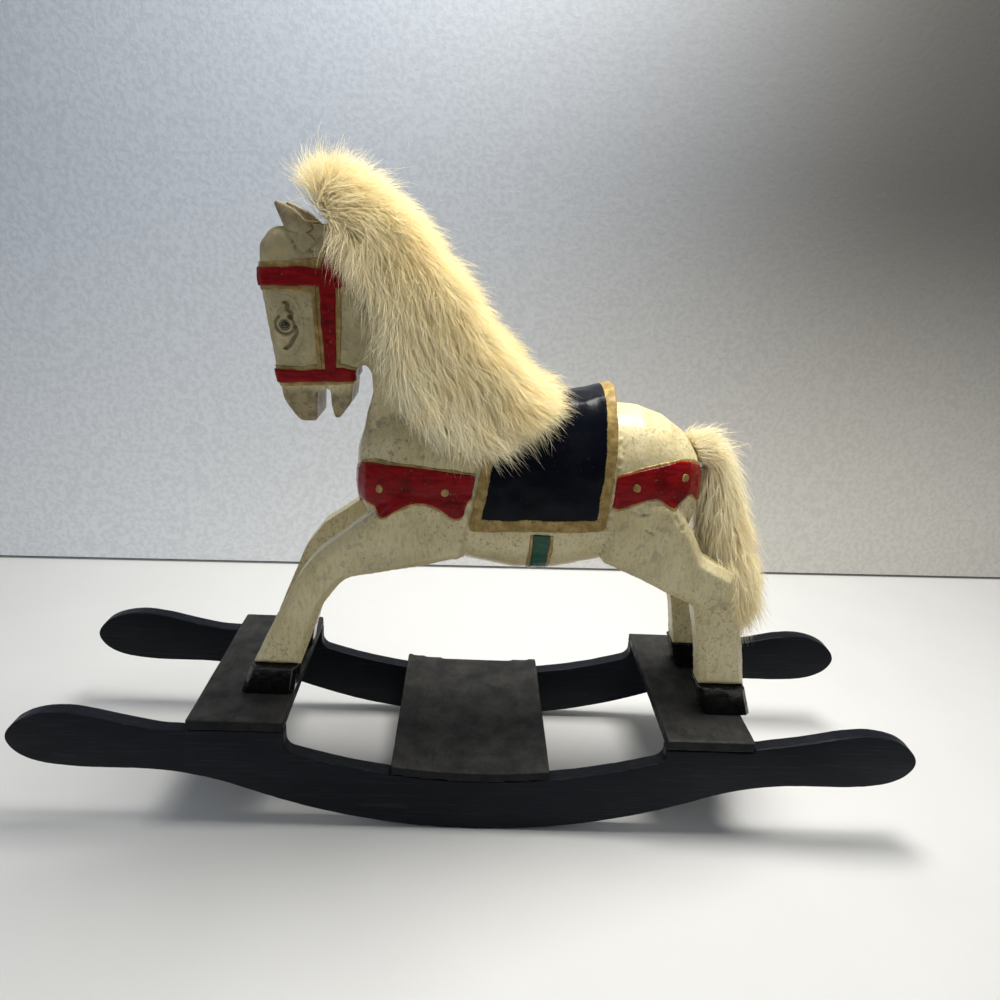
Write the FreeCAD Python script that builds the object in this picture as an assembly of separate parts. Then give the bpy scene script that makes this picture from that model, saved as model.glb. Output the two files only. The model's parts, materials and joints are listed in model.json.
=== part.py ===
"""Carved wooden rocking horse on bow rockers, with a fur mane and tail.

Millimetres. +X runs to the tail, -X to the nose, +Z is up, and Y = 0 is the horse's middle plane.
The origin is on the floor, midway between the rocker tips.  -Y is the horse's own left side.

The base is two bow rockers, sawn from board, with three slats pinned across them.
The horse is a lamination: a middle board (head, neck and torso core) with a leg board glued to each
side at the shoulders and at the haunches.  Hooves, ears, eye pins, saddle and the painted harness
straps are laid on it.  The mane and the tail are fur, made here as plain closed solids.
"""
import FreeCAD
import Part
import math
import os

V = FreeCAD.Vector

# ---------------------------------------------------------------- driving dimensions
ROCKER_LENGTH = 380.0
BASE_WIDTH = 88.0            # outer face to outer face of the two rockers
ROCKER_THICKNESS = 6.4
BOW_RADIUS = 260.0           # the running edge
BOW_CENTRE_X = 2.0           # where the running edge is lowest
BOW_ANGLE = 22.0             # degrees of running edge each side, before it turns into the handle
HANDLE_BOTTOM_Z = 27.5
DIP_RADIUS = 250.0           # upper edge between the two steps
DIP_Z = 25.3
STEP_FILLET = 5.0
FRONT_STEP = (-116.8, -78.0, 47.6)   # x from, x to, seat height
REAR_STEP = (81.6, 119.1, 44.2)
HANDLE_FOOT_Z = {-1: 46.5, 1: 45.6}  # where each handle's top edge meets its slat's step: nose end, tail end
SLAT_THICKNESS = 5.0
MIDDLE_SLAT = (-34.0, 33.2)
MIDDLE_SLAT_THICKNESS = 4.4
EDGE_SOFTENING = 0.6

CORE_HALF = 12.5             # half the thickness of the middle board
BODY_HALF = 24.3             # half the width over the leg boards
LEG_CHAMFER = 3.2
RIGHT_LEG_LEAD = 3.0         # how much further forward the right legs bend
STRAP_PROUD = 0.9            # how far the harness straps stand off the wood
BRIDLE_PROUD = 1.4
SADDLE_PROUD = 1.8
DOWEL_RADIUS = 3.0

FRONT_SLAT_TOP = FRONT_STEP[2] + SLAT_THICKNESS
REAR_SLAT_TOP = REAR_STEP[2] + SLAT_THICKNESS
HALF_LENGTH = ROCKER_LENGTH / 2
HALF_WIDTH = BASE_WIDTH / 2
FAR = 400.0                  # reach of a cutting block

os.makedirs("parts", exist_ok=True)


# ---------------------------------------------------------------- helpers
def point(x, z):
    return V(x, 0, z)


def line(a, b):
    return Part.LineSegment(point(*a), point(*b)).toShape()


def arc(a, b, c):
    return Part.Arc(point(*a), point(*b), point(*c)).toShape()


def curve(points, start=None, end=None):
    """A smooth edge through points, with its end directions if they are given."""
    spline = Part.BSplineCurve()
    if start:
        spline.interpolate([point(*p) for p in points], InitialTangent=point(*start), FinalTangent=point(*end))
    else:
        spline.interpolate([point(*p) for p in points])
    return spline.toShape()


def rounded(corners):
    """A closed outline of straight runs joined by tangent arcs: each corner is x, z, radius."""
    count = len(corners)
    ends = []
    for i, (x, z, radius) in enumerate(corners):
        here = point(x, z)
        before = point(*corners[i - 1][:2]) - here
        after = point(*corners[(i + 1) % count][:2]) - here
        half = before.getAngle(after) / 2
        before.normalize()
        after.normalize()
        if radius <= 0 or half > math.radians(89.5):
            ends.append((here, None, here))
            continue
        back = radius / math.tan(half)
        middle = before + after
        middle.normalize()
        centre = here + middle * (radius / math.sin(half))
        ends.append((here + before * back, centre - middle * radius, here + after * back))
    edges = []
    for i in range(count):
        begin, through, finish = ends[i]
        if through is not None:
            edges.append(Part.Arc(begin, through, finish).toShape())
        following = ends[(i + 1) % count][0]
        if (following - finish).Length > 1e-6:
            edges.append(Part.LineSegment(finish, following).toShape())
    return Part.Wire(edges)


def polygon(points):
    return rounded([(x, z, 0) for x, z in points])


def board(outline, y_from, y_to):
    """The outline, drawn in the X-Z plane, as a board between two Y positions."""
    face = Part.Face(outline)
    face.translate(V(0, y_from, 0))
    return face.extrude(V(0, y_to - y_from, 0))


def block(x_from, x_to, y_from, y_to, z_from, z_to):
    return Part.makeBox(x_to - x_from, y_to - y_from, z_to - z_from, V(x_from, y_from, z_from))


def across(shape):
    """The same piece on the horse's other side."""
    return shape.mirror(V(0, 0, 0), V(0, 1, 0))


def edges_at(shape, y):
    """The edges that lie in the plane at Y = y."""
    return [e for e in shape.Edges if abs(e.BoundBox.YMin - y) < 1e-3 and abs(e.BoundBox.YMax - y) < 1e-3]


def chamfered(shape, size, *planes):
    edges = [e for y in planes for e in edges_at(shape, y)]
    return shape.makeChamfer(size, edges)


def ring(x, half_width, z_low, z_wide, z_high, squareness=2.5, count=20):
    """A closed body section in the plane at x, widest at z_wide."""
    points = []
    for i in range(count):
        angle = 2 * math.pi * i / count
        c, s = math.cos(angle), math.sin(angle)
        y = half_width * math.copysign(abs(c) ** (2 / squareness), c)
        reach = z_high - z_wide if s > 0 else z_wide - z_low
        points.append(V(x, y, z_wide + reach * math.copysign(abs(s) ** (2 / squareness), s)))
    spline = Part.BSplineCurve()
    spline.interpolate(points, PeriodicFlag=True)
    return Part.Wire(spline.toShape())


def loft(sections, ruled=False):
    return Part.makeLoft(sections, True, ruled)


def one_solid(shape):
    """The largest solid of a boolean's result."""
    return max(shape.Solids, key=lambda s: s.Volume)


def save(name, shape):
    solids = shape.Solids
    made = solids[0] if len(solids) == 1 else Part.makeCompound(solids)
    box = made.BoundBox
    print(f"{name:20s} solids {len(solids)} valid {made.isValid()} volume {made.Volume:9.0f}"
          f"  x {box.XMin:7.1f} {box.XMax:7.1f}  y {box.YMin:6.1f} {box.YMax:6.1f}  z {box.ZMin:6.1f} {box.ZMax:6.1f}")
    made.exportStep(f"parts/{name}.step")


# ---------------------------------------------------------------- base: rockers and slats
def dip_z(x):
    """Height of the rocker's upper edge between the steps."""
    return DIP_Z + DIP_RADIUS - math.sqrt(DIP_RADIUS ** 2 - (x - BOW_CENTRE_X) ** 2)


def handle_edge(side, start, seat_corner):
    """One handle, from the end of the running edge round the tip to the foot of the slat's step."""
    tip = HALF_LENGTH
    points = [start] + [(side * x, z) for x, z in (
        (tip - 26.0, 27.7), (tip - 13.0, 29.4), (tip - 4.0, 33.6), (tip, 40.8), (tip - 3.4, 47.2),
        (tip - 12.0, 52.2), (tip - 23.0, 54.0), (tip - 36.0, 52.4), (tip - 52.0, 48.7), (tip - 64.0, 46.7))]
    return curve(points + [seat_corner], start=(side * 30.0, 0.0), end=(-side * 30.0, -1.0))


def step_fillet(step_x, inward):
    """Where the fillet at the foot of a step leaves the upright and where it meets the dip."""
    centre_x = step_x + inward * STEP_FILLET
    dip_centre_z = DIP_Z + DIP_RADIUS
    reach = DIP_RADIUS - STEP_FILLET
    centre_z = dip_centre_z - math.sqrt(reach ** 2 - (centre_x - BOW_CENTRE_X) ** 2)
    out_x, out_z = (centre_x - BOW_CENTRE_X) / reach, (centre_z - dip_centre_z) / reach
    on_dip = (BOW_CENTRE_X + out_x * DIP_RADIUS, dip_centre_z + out_z * DIP_RADIUS)
    mid_x, mid_z = out_x - inward, out_z
    length = math.hypot(mid_x, mid_z)
    middle = (centre_x + STEP_FILLET * mid_x / length, centre_z + STEP_FILLET * mid_z / length)
    return (step_x, centre_z), middle, on_dip


def rocker_outline():
    angle = math.radians(BOW_ANGLE)
    rise = BOW_RADIUS * (1 - math.cos(angle))
    turn_radius = (HANDLE_BOTTOM_Z - rise) / (1 - math.cos(angle))
    ends, turns, handles = {}, {}, {}
    for side, step in ((-1, FRONT_STEP), (1, REAR_STEP)):
        reach = BOW_RADIUS * math.sin(angle)
        ends[side] = (BOW_CENTRE_X + side * reach, rise)
        level_x = reach + turn_radius * math.sin(angle)
        middle_x = level_x - turn_radius * math.sin(angle / 2)
        middle_z = HANDLE_BOTTOM_Z - turn_radius * (1 - math.cos(angle / 2))
        level = (BOW_CENTRE_X + side * level_x, HANDLE_BOTTOM_Z)
        turns[side] = arc(ends[side], (BOW_CENTRE_X + side * middle_x, middle_z), level)
        corner_x = step[0] if side < 0 else step[1]
        corner = (corner_x, HANDLE_FOOT_Z[side])
        handles[side] = [handle_edge(side, level, corner), line(corner, (corner_x, step[2]))]
    front_foot, front_middle, front_dip = step_fillet(FRONT_STEP[1], 1)
    rear_foot, rear_middle, rear_dip = step_fillet(REAR_STEP[0], -1)
    edges = [arc(ends[-1], (BOW_CENTRE_X, 0), ends[1]), turns[1], *handles[1],
             line((REAR_STEP[1], REAR_STEP[2]), (REAR_STEP[0], REAR_STEP[2])),
             line((REAR_STEP[0], REAR_STEP[2]), rear_foot),
             arc(rear_foot, rear_middle, rear_dip),
             arc(rear_dip, (BOW_CENTRE_X, DIP_Z), front_dip),
             arc(front_dip, front_middle, front_foot),
             line(front_foot, (FRONT_STEP[1], FRONT_STEP[2])),
             line((FRONT_STEP[1], FRONT_STEP[2]), (FRONT_STEP[0], FRONT_STEP[2])),
             *handles[-1], turns[-1]]
    return Part.Wire(Part.__sortEdges__(edges))


def flat_slat(step):
    x_from, x_to, seat = step
    made = block(x_from, x_to, -HALF_WIDTH, HALF_WIDTH, seat, seat + SLAT_THICKNESS)
    top = [e for e in made.Edges if e.BoundBox.ZMin > seat + SLAT_THICKNESS - 1e-3]
    return made.makeChamfer(EDGE_SOFTENING / 2, top)


def bent_slat():
    """The middle slat follows the rockers' dip, so it is slightly hollow on top."""
    x_from, x_to = MIDDLE_SLAT
    lift = MIDDLE_SLAT_THICKNESS
    low, high = [], []
    for x in (x_from, BOW_CENTRE_X, x_to):
        low.append((x, dip_z(x)))
        high.append((x, dip_z(x) + lift))
    outline = Part.Wire([arc(*low), line(low[2], high[2]), arc(*reversed(high)), line(high[0], low[0])])
    return board(outline, -HALF_WIDTH, HALF_WIDTH)


def brads():
    """Two panel pins through each slat's end into each rocker, punched below the slat's painted face."""
    shank_radius, head_radius, head_height, length, sunk = 0.6, 1.2, 0.6, 13.0, 1.2
    made = []
    for x_from, x_to, top in ((FRONT_STEP[0], FRONT_STEP[1], FRONT_SLAT_TOP),
                              (REAR_STEP[0], REAR_STEP[1], REAR_SLAT_TOP),
                              (MIDDLE_SLAT[0], MIDDLE_SLAT[1], None)):
        for x in (x_from + 10.0, x_to - 10.0):
            z = (top if top is not None else dip_z(x) + MIDDLE_SLAT_THICKNESS) - sunk
            for side in (-1, 1):
                foot = V(x, side * (HALF_WIDTH - ROCKER_THICKNESS / 2), z - length)
                pin = Part.makeCylinder(shank_radius, length - head_height, foot)
                head = Part.makeCylinder(head_radius, head_height, foot + V(0, 0, length - head_height))
                made.append(pin.fuse(head).removeSplitter())
    return Part.makeCompound(made)


# ---------------------------------------------------------------- horse: the whole carved body
# x, half width, bottom, widest height, top
BODY_SECTIONS = (
    (-52.1, 7.0, 141.0, 150.0, 160.0),
    (-50.3, 14.5, 136.0, 149.0, 166.0),
    (-46.6, 19.5, 131.5, 148.0, 171.5),
    (-38.0, 23.0, 126.0, 146.0, 176.5),
    (-22.0, 24.0, 117.6, 145.0, 180.0),
    (-5.0, 24.0, 112.4, 145.0, 181.5),
    (14.0, 23.6, 109.0, 146.0, 181.0),
    (31.0, 23.6, 109.4, 147.0, 180.8),
    (48.0, 24.0, 114.0, 148.0, 181.3),
    (62.0, 24.0, 118.0, 148.0, 180.4),
    (73.0, 22.8, 121.0, 147.0, 176.8),
    (81.0, 19.8, 125.5, 146.0, 171.3),
    (86.5, 15.0, 131.0, 146.0, 164.5),
    (89.3, 8.5, 138.0, 147.0, 157.5),
)


def body_solid(proud=0.0):
    """The barrel from chest to rump, optionally larger all round."""
    sections = []
    for i, (x, half, low, wide, high) in enumerate(BODY_SECTIONS):
        along = {0: -proud, len(BODY_SECTIONS) - 1: proud}.get(i, 0.0)
        sections.append(ring(x + along, half + proud, low - proud, wide, high + proud))
    return loft(sections, ruled=True)


# The glue lines between the leg boards and the middle of the barrel, each given by two points.
FRONT_JOINT = ((-6.5, 117.7), (0.5, 166.0))
REAR_JOINT = ((49.4, 118.0), (52.4, 166.0))


def beyond(joint, side):
    """Everything on one side of a glue line, as a board across the whole horse: side -1 is towards the nose."""
    (x0, z0), (x1, z1) = joint
    slope = (x1 - x0) / (z1 - z0)
    low_x, high_x = x0 + slope * (60.0 - z0), x0 + slope * (300.0 - z0)
    return board(polygon([(low_x, 60.0), (high_x, 300.0), (side * FAR, 300.0), (side * FAR, 60.0)]), -60.0, 60.0)


FRONT_LEG = (
    (-35.0, 147.0, 0), (-45.5, 135.6, 0), (-67.0, 118.0, 9), (-75.4, 106.5, 12), (-95.0, 66.0, 0),
    (-75.0, 66.0, 0), (-65.0, 95.0, 16), (-56.0, 107.6, 12), (-24.0, 114.6, 10), (-6.9, 119.4, 0),
    (-2.4, 147.0, 0))
REAR_LEG = (
    (49.6, 119.2, 0), (66.6, 112.1, 30), (90.6, 100.9, 0), (95.3, 81.0, 30), (98.2, 62.8, 0),
    (118.8, 62.8, 0), (114.6, 84.0, 40), (107.2, 106.5, 0), (106.6, 115.6, 0), (91.6, 122.6, 9),
    (86.6, 133.0, 0), (76.0, 148.0, 0), (51.4, 148.0, 0))
FRONT_HOOF = ((-100.4, 0.0, 0), (-78.0, 0.0, 0), (-75.8, 66.0, 0), (-95.4, 66.0, 0))
REAR_HOOF = ((101.6, 0.0, 0), (123.0, 0.0, 0), (118.4, 62.8, 0), (97.6, 62.8, 0))


def led(outline, at_foot):
    """A right leg's or hoof's outline: the left one's, with the knee set further forward, and the foot by at_foot."""
    leads = [0.0 if z > 119.0 else RIGHT_LEG_LEAD if z > 90.0 else at_foot for x, z, radius in outline]
    return tuple((x - lead, z, radius) for (x, z, radius), lead in zip(outline, leads))


def side_region(joint, side):
    """The space of a leg board, from the middle board outwards and beyond the glue line."""
    return beyond(joint, side).common(block(-FAR, FAR, CORE_HALF, 60.0, 60.0, 300.0))


def leg_board(outline, region, body):
    """One leg with its shoulder or haunch: the sawn leg and the side of the barrel beyond the glue line."""
    leg = chamfered(board(rounded(outline), CORE_HALF, BODY_HALF), LEG_CHAMFER, BODY_HALF)
    return one_solid(leg.fuse(body.common(region)))


def hoof(outline, stand_z):
    """A hoof block with its corners taken off, a little wider than the leg; height 0 means on its slat."""
    spread = 0.7
    corners = [(x, z if z > 0 else stand_z, r) for x, z, r in outline]
    made = board(rounded(corners), CORE_HALF - spread, BODY_HALF + spread)
    upright = [e for y in (CORE_HALF - spread, BODY_HALF + spread) for e in edges_at(made, y)
               if e.BoundBox.ZLength > 8.0]
    return made.makeChamfer(1.8, upright)


# ---------------------------------------------------------------- head and neck
HEAD_FACE = (
    (-71.0, 243.0, 4), (-81.8, 242.2, 5), (-86.6, 236.0, 5), (-87.4, 224.0, 20), (-82.4, 191.0, 30),
    (-80.0, 178.5, 7), (-73.9, 170.3, 4))
HEAD_BACK = (
    (-53.2, 186.5, 4), (-53.6, 191.6, 1), (-49.4, 193.4, 2), (-45.0, 194.2, 5), (-42.6, 199.0, 6), (-42.4, 222.0, 12),
    (-44.0, 240.0, 8), (-56.0, 245.0, 8))
MOUTH = ((-67.6, 170.5, 1.0), (-67.1, 182.2, 1.6), (-62.0, 184.0, 1.0), (-61.8, 178.0, 3), (-60.4, 171.8, 1),
         (-58.4, 172.2, 1.5), (-54.0, 178.4, 2))
CHIN = ((-58.4, 172.2, 1.5), (-54.0, 178.4, 2))
NECK = (
    (-51.0, 197.0, 0), (-46.0, 190.6, 3), (-45.6, 183.0, 6), (-48.0, 175.0, 10), (-50.0, 165.0, 0), (-2.0, 165.0, 0),
    (6.0, 178.0, 0), (-3.0, 190.0, 30), (-14.0, 205.0, 40), (-25.0, 222.0, 40), (-38.0, 237.0, 20),
    (-50.0, 244.5, 8), (-62.0, 242.0, 0))
NECK_FOOT_Z = 165.0


def head_solid(proud=0.0, mouth=True):
    """The head board, tapered to the muzzle; proud makes it larger for the bridle."""
    outline = rounded(HEAD_FACE + (MOUTH if mouth else CHIN) + HEAD_BACK)
    if proud:
        outline = Part.Wire(outline.makeOffset2D(proud).Edges)
    half = CORE_HALF + proud
    made = chamfered(board(outline, -half, half), 2.6, -half, half)
    thin = half - 3.2
    for side in (-1, 1):
        cheek = Part.makePolygon([V(-120, side * thin, 160), V(-120, side * half, 212), V(-120, side * 40, 212),
                                  V(-120, side * 40, 160), V(-120, side * thin, 160)])
        made = made.cut(Part.Face(cheek).extrude(V(100, 0, 0)))
    return one_solid(made)


def neck_solid():
    half = CORE_HALF - 0.5
    return chamfered(board(rounded(NECK), -half, half), 2.5, -half, half)


def ear(side):
    """A pointed ear, leaning forward, from an oval foot on the side of the head to a fine tip."""
    foot, tip = V(-67.6, side * 10.9, 235.6), V(-80.5, side * 8.6, 250.6)
    direction = tip - foot
    sections = []
    for share, wide, deep in ((0.0, 4.6, 2.4), (0.35, 4.6, 2.3), (0.7, 2.9, 1.7), (1.0, 0.7, 0.6)):
        centre = foot + direction * share + V(0, 0, 1.2 * math.sin(math.pi * share))
        oval = Part.Ellipse(V(0, 0, 0), wide, deep).toShape()
        oval.Placement = FreeCAD.Placement(V(0, 0, 0), FreeCAD.Rotation(V(0, 0, 1), V(direction)))
        turn = FreeCAD.Placement(centre, FreeCAD.Rotation())
        oval.Placement = turn.multiply(oval.Placement)
        sections.append(Part.Wire(oval))
    return loft(sections)


def eye(side):
    """A round-headed black pin pushed into the carved socket."""
    socket = V(-78.0, side * (CORE_HALF - 1.1), 207.6)
    dome = Part.makeSphere(1.5, socket)
    shank = Part.makeCylinder(0.8, 6.0, socket, V(0, -side, 0))
    return dome.fuse(shank).removeSplitter()


BROW_STRAP = ((-95.0, 227.8), (-95.0, 221.0), (-48.0, 222.4), (-48.0, 226.6), (-66.0, 228.7))
NOSE_STRAP = ((-95.0, 191.4), (-95.0, 185.4), (-45.0, 187.0), (-45.0, 190.2), (-53.0, 190.9), (-57.0, 192.4))
CHEEK_STRAP = ((-63.4, 188.0), (-59.2, 188.0), (-59.0, 226.0), (-64.8, 226.0))
CROWN_STRAP = ((-63.6, 225.0), (-57.0, 225.0), (-53.5, 236.0), (-52.5, 260.0), (-59.0, 260.0), (-59.5, 238.0))


# ---------------------------------------------------------------- harness on the body
BREAST_STRAP = (
    (-58.0, 146.0, 0), (-58.0, 128.0, 0), (-48.5, 141.4, 2), (-37.6, 136.0, 4), (-22.0, 144.2, 18),
    (-11.0, 135.2, 3), (-5.6, 143.0, 0), (-4.0, 147.5, 0), (-3.4, 155.2, 0), (-24.0, 157.0, 60),
    (-47.5, 157.6, 6))
BREECH_STRAP = (
    (51.2, 143.0, 0), (57.0, 140.8, 4), (68.0, 147.0, 14), (78.6, 141.6, 3), (83.8, 148.6, 0),
    (98.0, 139.0, 0), (98.0, 154.0, 0), (82.0, 163.8, 6), (52.2, 157.2, 0))
SADDLE_FLAP = (
    (-6.0, 131.8, 2), (42.0, 133.2, 60), (48.9, 134.4, 3), (50.6, 166.0, 30), (49.2, 200.0, 0), (2.0, 200.0, 0),
    (-1.4, 164.0, 40))
# x, half width, widest height, top of the seat
SADDLE_SECTIONS = (
    (-10.0, 24.0, 145.0, 182.5), (2.0, 24.0, 145.0, 183.5), (14.0, 23.6, 146.0, 183.4), (28.0, 23.6, 147.0, 184.2),
    (40.0, 23.9, 148.0, 187.0), (49.0, 24.0, 148.0, 189.6), (60.0, 24.0, 148.0, 190.6))
GIRTH = (20.6, 29.2)


def saddle_solid(body):
    """The carved seat and its two flaps, over the barrel: low in front, rising to the cantle behind."""
    sections = [ring(x, half + SADDLE_PROUD, 110.0, wide, top) for x, half, wide, top in SADDLE_SECTIONS]
    over = loft(sections, ruled=True).common(board(rounded(SADDLE_FLAP), -60.0, 60.0))
    return one_solid(over.cut(body))


def strap(proud_shape, outline, *taken):
    made = proud_shape.common(board(outline, -60.0, 60.0))
    for piece in taken:
        made = made.cut(piece)
    return made


# ---------------------------------------------------------------- fur
MANE_SIDE = (
    (-64.0, 248.0, 2), (-71.0, 257.0, 4), (-67.0, 265.5, 5), (-58.0, 268.6, 8), (-44.0, 261.0, 12),
    (-29.0, 250.5, 20), (-8.0, 224.0, 30), (12.0, 200.0, 20), (26.5, 186.0, 3), (14.0, 172.5, 8),
    (4.0, 163.5, 6), (-8.0, 166.5, 12), (-28.0, 172.0, 8), (-40.0, 185.0, 12), (-41.5, 212.0, 12),
    (-50.0, 231.0, 10))
MANE_FRONT = (
    (-28.0, 158.0, 4), (28.0, 158.0, 4), (28.0, 184.0, 20), (21.5, 222.0, 30), (17.5, 250.0, 20),
    (9.0, 269.0, 8), (-9.0, 269.0, 8), (-17.5, 250.0, 20), (-21.5, 222.0, 30), (-28.0, 184.0, 20))
# centre x, centre z, half width along the path's normal, half width in Y, direction of the path in degrees
TAIL_SECTIONS = (
    (76.0, 159.5, 3.6, 3.6, 28), (86.0, 164.2, 3.9, 3.9, 24), (91.5, 165.2, 5.0, 5.0, 5), (97.5, 162.4, 6.8, 6.6, -40),
    (102.0, 153.5, 8.4, 8.2, -66), (105.6, 139.0, 10.2, 9.8, -78), (109.2, 121.0, 12.8, 10.8, -82),
    (112.6, 104.0, 11.4, 9.8, -86), (115.0, 88.0, 7.0, 7.0, -88))


def mane_solid():
    side = board(rounded(MANE_SIDE), -40.0, 40.0)
    outline = rounded(MANE_FRONT)
    outline.rotate(V(0, 0, 0), V(0, 0, 1), 90)
    outline.translate(V(-100, 0, 0))
    front = Part.Face(outline).extrude(V(200, 0, 0))
    return side.common(front)


def tail_solid():
    sections = []
    for x, z, deep, wide, heading in TAIL_SECTIONS:
        along = math.radians(heading)
        across_path = V(-math.sin(along), 0, math.cos(along))
        ellipse = Part.BSplineCurve()
        points = []
        for i in range(12):
            angle = 2 * math.pi * i / 12
            points.append(V(x, 0, z) + across_path * (deep * math.cos(angle)) + V(0, wide * math.sin(angle), 0))
        ellipse.interpolate(points, PeriodicFlag=True)
        sections.append(Part.Wire(ellipse.toShape()))
    return loft(sections)


# ---------------------------------------------------------------- fasteners inside
def hoof_screws():
    """Four countersunk screws up through the end slats, the hooves and into the legs."""
    shank_radius, head_radius, head_height = 1.6, 3.2, 2.4
    leg_y = (CORE_HALF + BODY_HALF) / 2
    made = []
    for x, seat, tip_z in ((-85.6, FRONT_STEP[2], 78.0), (110.6, REAR_STEP[2], 76.0)):
        for side in (-1, 1):
            foot = V(x, side * leg_y, seat)
            head = Part.makeCone(head_radius, shank_radius, head_height, foot)
            shank = Part.makeCylinder(shank_radius, tip_z - seat - 4.0, foot)
            tip = Part.makeCone(shank_radius, 0.3, 4.0, V(x, side * leg_y, tip_z - 4.0))
            made.append(head.fuse(shank).fuse(tip).removeSplitter())
    return Part.makeCompound(made)


def neck_dowels():
    return Part.makeCompound([Part.makeCylinder(DOWEL_RADIUS, 30.0, V(x, 0, NECK_FOOT_Z - 13.0)) for x in (-34.0, -16.0)])


def leg_dowels():
    """Cross dowels that pin each pair of leg boards to the middle board."""
    reach = 20.0
    return Part.makeCompound([
        Part.makeCylinder(DOWEL_RADIUS, 2 * reach, V(x, -reach, z), V(0, 1, 0))
        for x, z in ((-32.0, 138.0), (-14.0, 132.0), (62.0, 132.0), (76.0, 140.0))])


# ---------------------------------------------------------------- assembly
def build_base():
    pins = brads()
    screws = hoof_screws()
    rocker = board(rocker_outline(), HALF_WIDTH - ROCKER_THICKNESS, HALF_WIDTH)
    rocker = rocker.makeFillet(EDGE_SOFTENING, edges_at(rocker, HALF_WIDTH))
    save("rocker_right", rocker.cut(pins))
    save("rocker_left", across(rocker).cut(pins))
    save("front_slat", flat_slat(FRONT_STEP).cut(pins).cut(screws))
    save("rear_slat", flat_slat(REAR_STEP).cut(pins).cut(screws))
    save("middle_slat", bent_slat().cut(pins))
    save("slat_brads", pins)
    save("hoof_screws", screws)


def build_horse():
    body = body_solid()
    screws, dowels, cross_dowels = hoof_screws(), neck_dowels(), leg_dowels()
    front_region, rear_region = side_region(FRONT_JOINT, -1), side_region(REAR_JOINT, 1)
    legs = {"front_leg_right": leg_board(led(FRONT_LEG, 0.0), front_region, body),
            "front_leg_left": across(leg_board(FRONT_LEG, front_region, body)),
            "rear_leg_right": leg_board(led(REAR_LEG, RIGHT_LEG_LEAD), rear_region, body),
            "rear_leg_left": across(leg_board(REAR_LEG, rear_region, body))}
    for name, leg in legs.items():
        save(name, one_solid(leg.cut(cross_dowels).cut(screws)))
    for name, piece in (("hoof_front_right", hoof(FRONT_HOOF, FRONT_SLAT_TOP)),
                        ("hoof_front_left", across(hoof(FRONT_HOOF, FRONT_SLAT_TOP))),
                        ("hoof_rear_right", hoof(led(REAR_HOOF, RIGHT_LEG_LEAD), REAR_SLAT_TOP)),
                        ("hoof_rear_left", across(hoof(REAR_HOOF, REAR_SLAT_TOP)))):
        save(name, piece.cut(screws))

    above_joint = block(-60.0, 6.0, -CORE_HALF, CORE_HALF, NECK_FOOT_Z, 300.0)
    core = body
    for taken in (above_joint, front_region, across(front_region), rear_region, across(rear_region)):
        core = core.cut(taken)
    tail = tail_solid()
    peg = Part.makeCylinder(1.8, 9.0, V(78.0, 0, 160.4), V(math.cos(math.radians(26)), 0, math.sin(math.radians(26))))
    save("torso_core", one_solid(core.cut(dowels).cut(cross_dowels).cut(tail)))
    save("tail", one_solid(tail.cut(peg)))
    save("tail_peg", peg)
    save("neck_dowels", dowels)
    save("leg_dowels", cross_dowels)

    head = head_solid()
    ears = {"ear_right": ear(1), "ear_left": ear(-1)}
    eyes = {"eye_right": eye(1), "eye_left": eye(-1)}
    withers = body.common(above_joint)
    neck_and_head = head.fuse(neck_solid()).fuse(withers)
    horse = one_solid(body.fuse(head).fuse(neck_solid()))
    for piece in (dowels, *eyes.values()):
        neck_and_head = neck_and_head.cut(piece)
    neck_and_head = one_solid(neck_and_head)
    save("neck_and_head", neck_and_head)
    for name, piece in ears.items():
        ears[name] = one_solid(piece.cut(neck_and_head))
        save(name, ears[name])
    for name, piece in eyes.items():
        save(name, piece)

    proud_head = head_solid(BRIDLE_PROUD, mouth=False)
    brow = one_solid(strap(proud_head, polygon(BROW_STRAP), neck_and_head))
    nose = one_solid(strap(proud_head, polygon(NOSE_STRAP), neck_and_head))
    cheeks = strap(proud_head, polygon(CHEEK_STRAP), neck_and_head, brow, nose).Solids
    crown = one_solid(strap(proud_head, polygon(CROWN_STRAP), neck_and_head, brow, *ears.values()))
    save("bridle_browband", brow)
    save("bridle_noseband", nose)
    save("bridle_crown_strap", crown)
    save("bridle_cheek_left", min(cheeks, key=lambda s: s.CenterOfMass.y))
    save("bridle_cheek_right", max(cheeks, key=lambda s: s.CenterOfMass.y))

    saddle = saddle_solid(body)
    save("saddle", saddle)
    proud_body = body_solid(STRAP_PROUD)
    wood = [body, saddle]
    save("breast_strap", one_solid(strap(proud_body, rounded(BREAST_STRAP), *wood)))
    save("breeching_strap", one_solid(strap(proud_body, rounded(BREECH_STRAP), *wood, tail)))
    girth = polygon([(GIRTH[0], 100.0), (GIRTH[1], 100.0), (GIRTH[1], 136.0), (GIRTH[0], 136.0)])
    save("girth_strap", one_solid(strap(proud_body, girth, *wood)))

    mane = mane_solid()
    for piece in (horse, saddle, *ears.values(), brow, crown):
        mane = mane.cut(piece)
    save("mane", one_solid(mane))


build_base()
build_horse()
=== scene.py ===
"""Looks of a carved rocking horse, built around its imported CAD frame.

Metres, in the frame's own axes: +X to the tail, -Y the horse's left, +Z up.  Lengths below are in
millimetres and pass through MM.  The wood is the CAD nodes fused, softened and carved, then cut back
into its boards; straps and saddle are skins laid over that carving; the fur is made of single hairs.
"""
import json
import math

import bmesh
import bpy
import numpy as np
from mathutils import Matrix, Vector, noise
from mathutils.bvhtree import BVHTree
from mathutils.kdtree import KDTree

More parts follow.
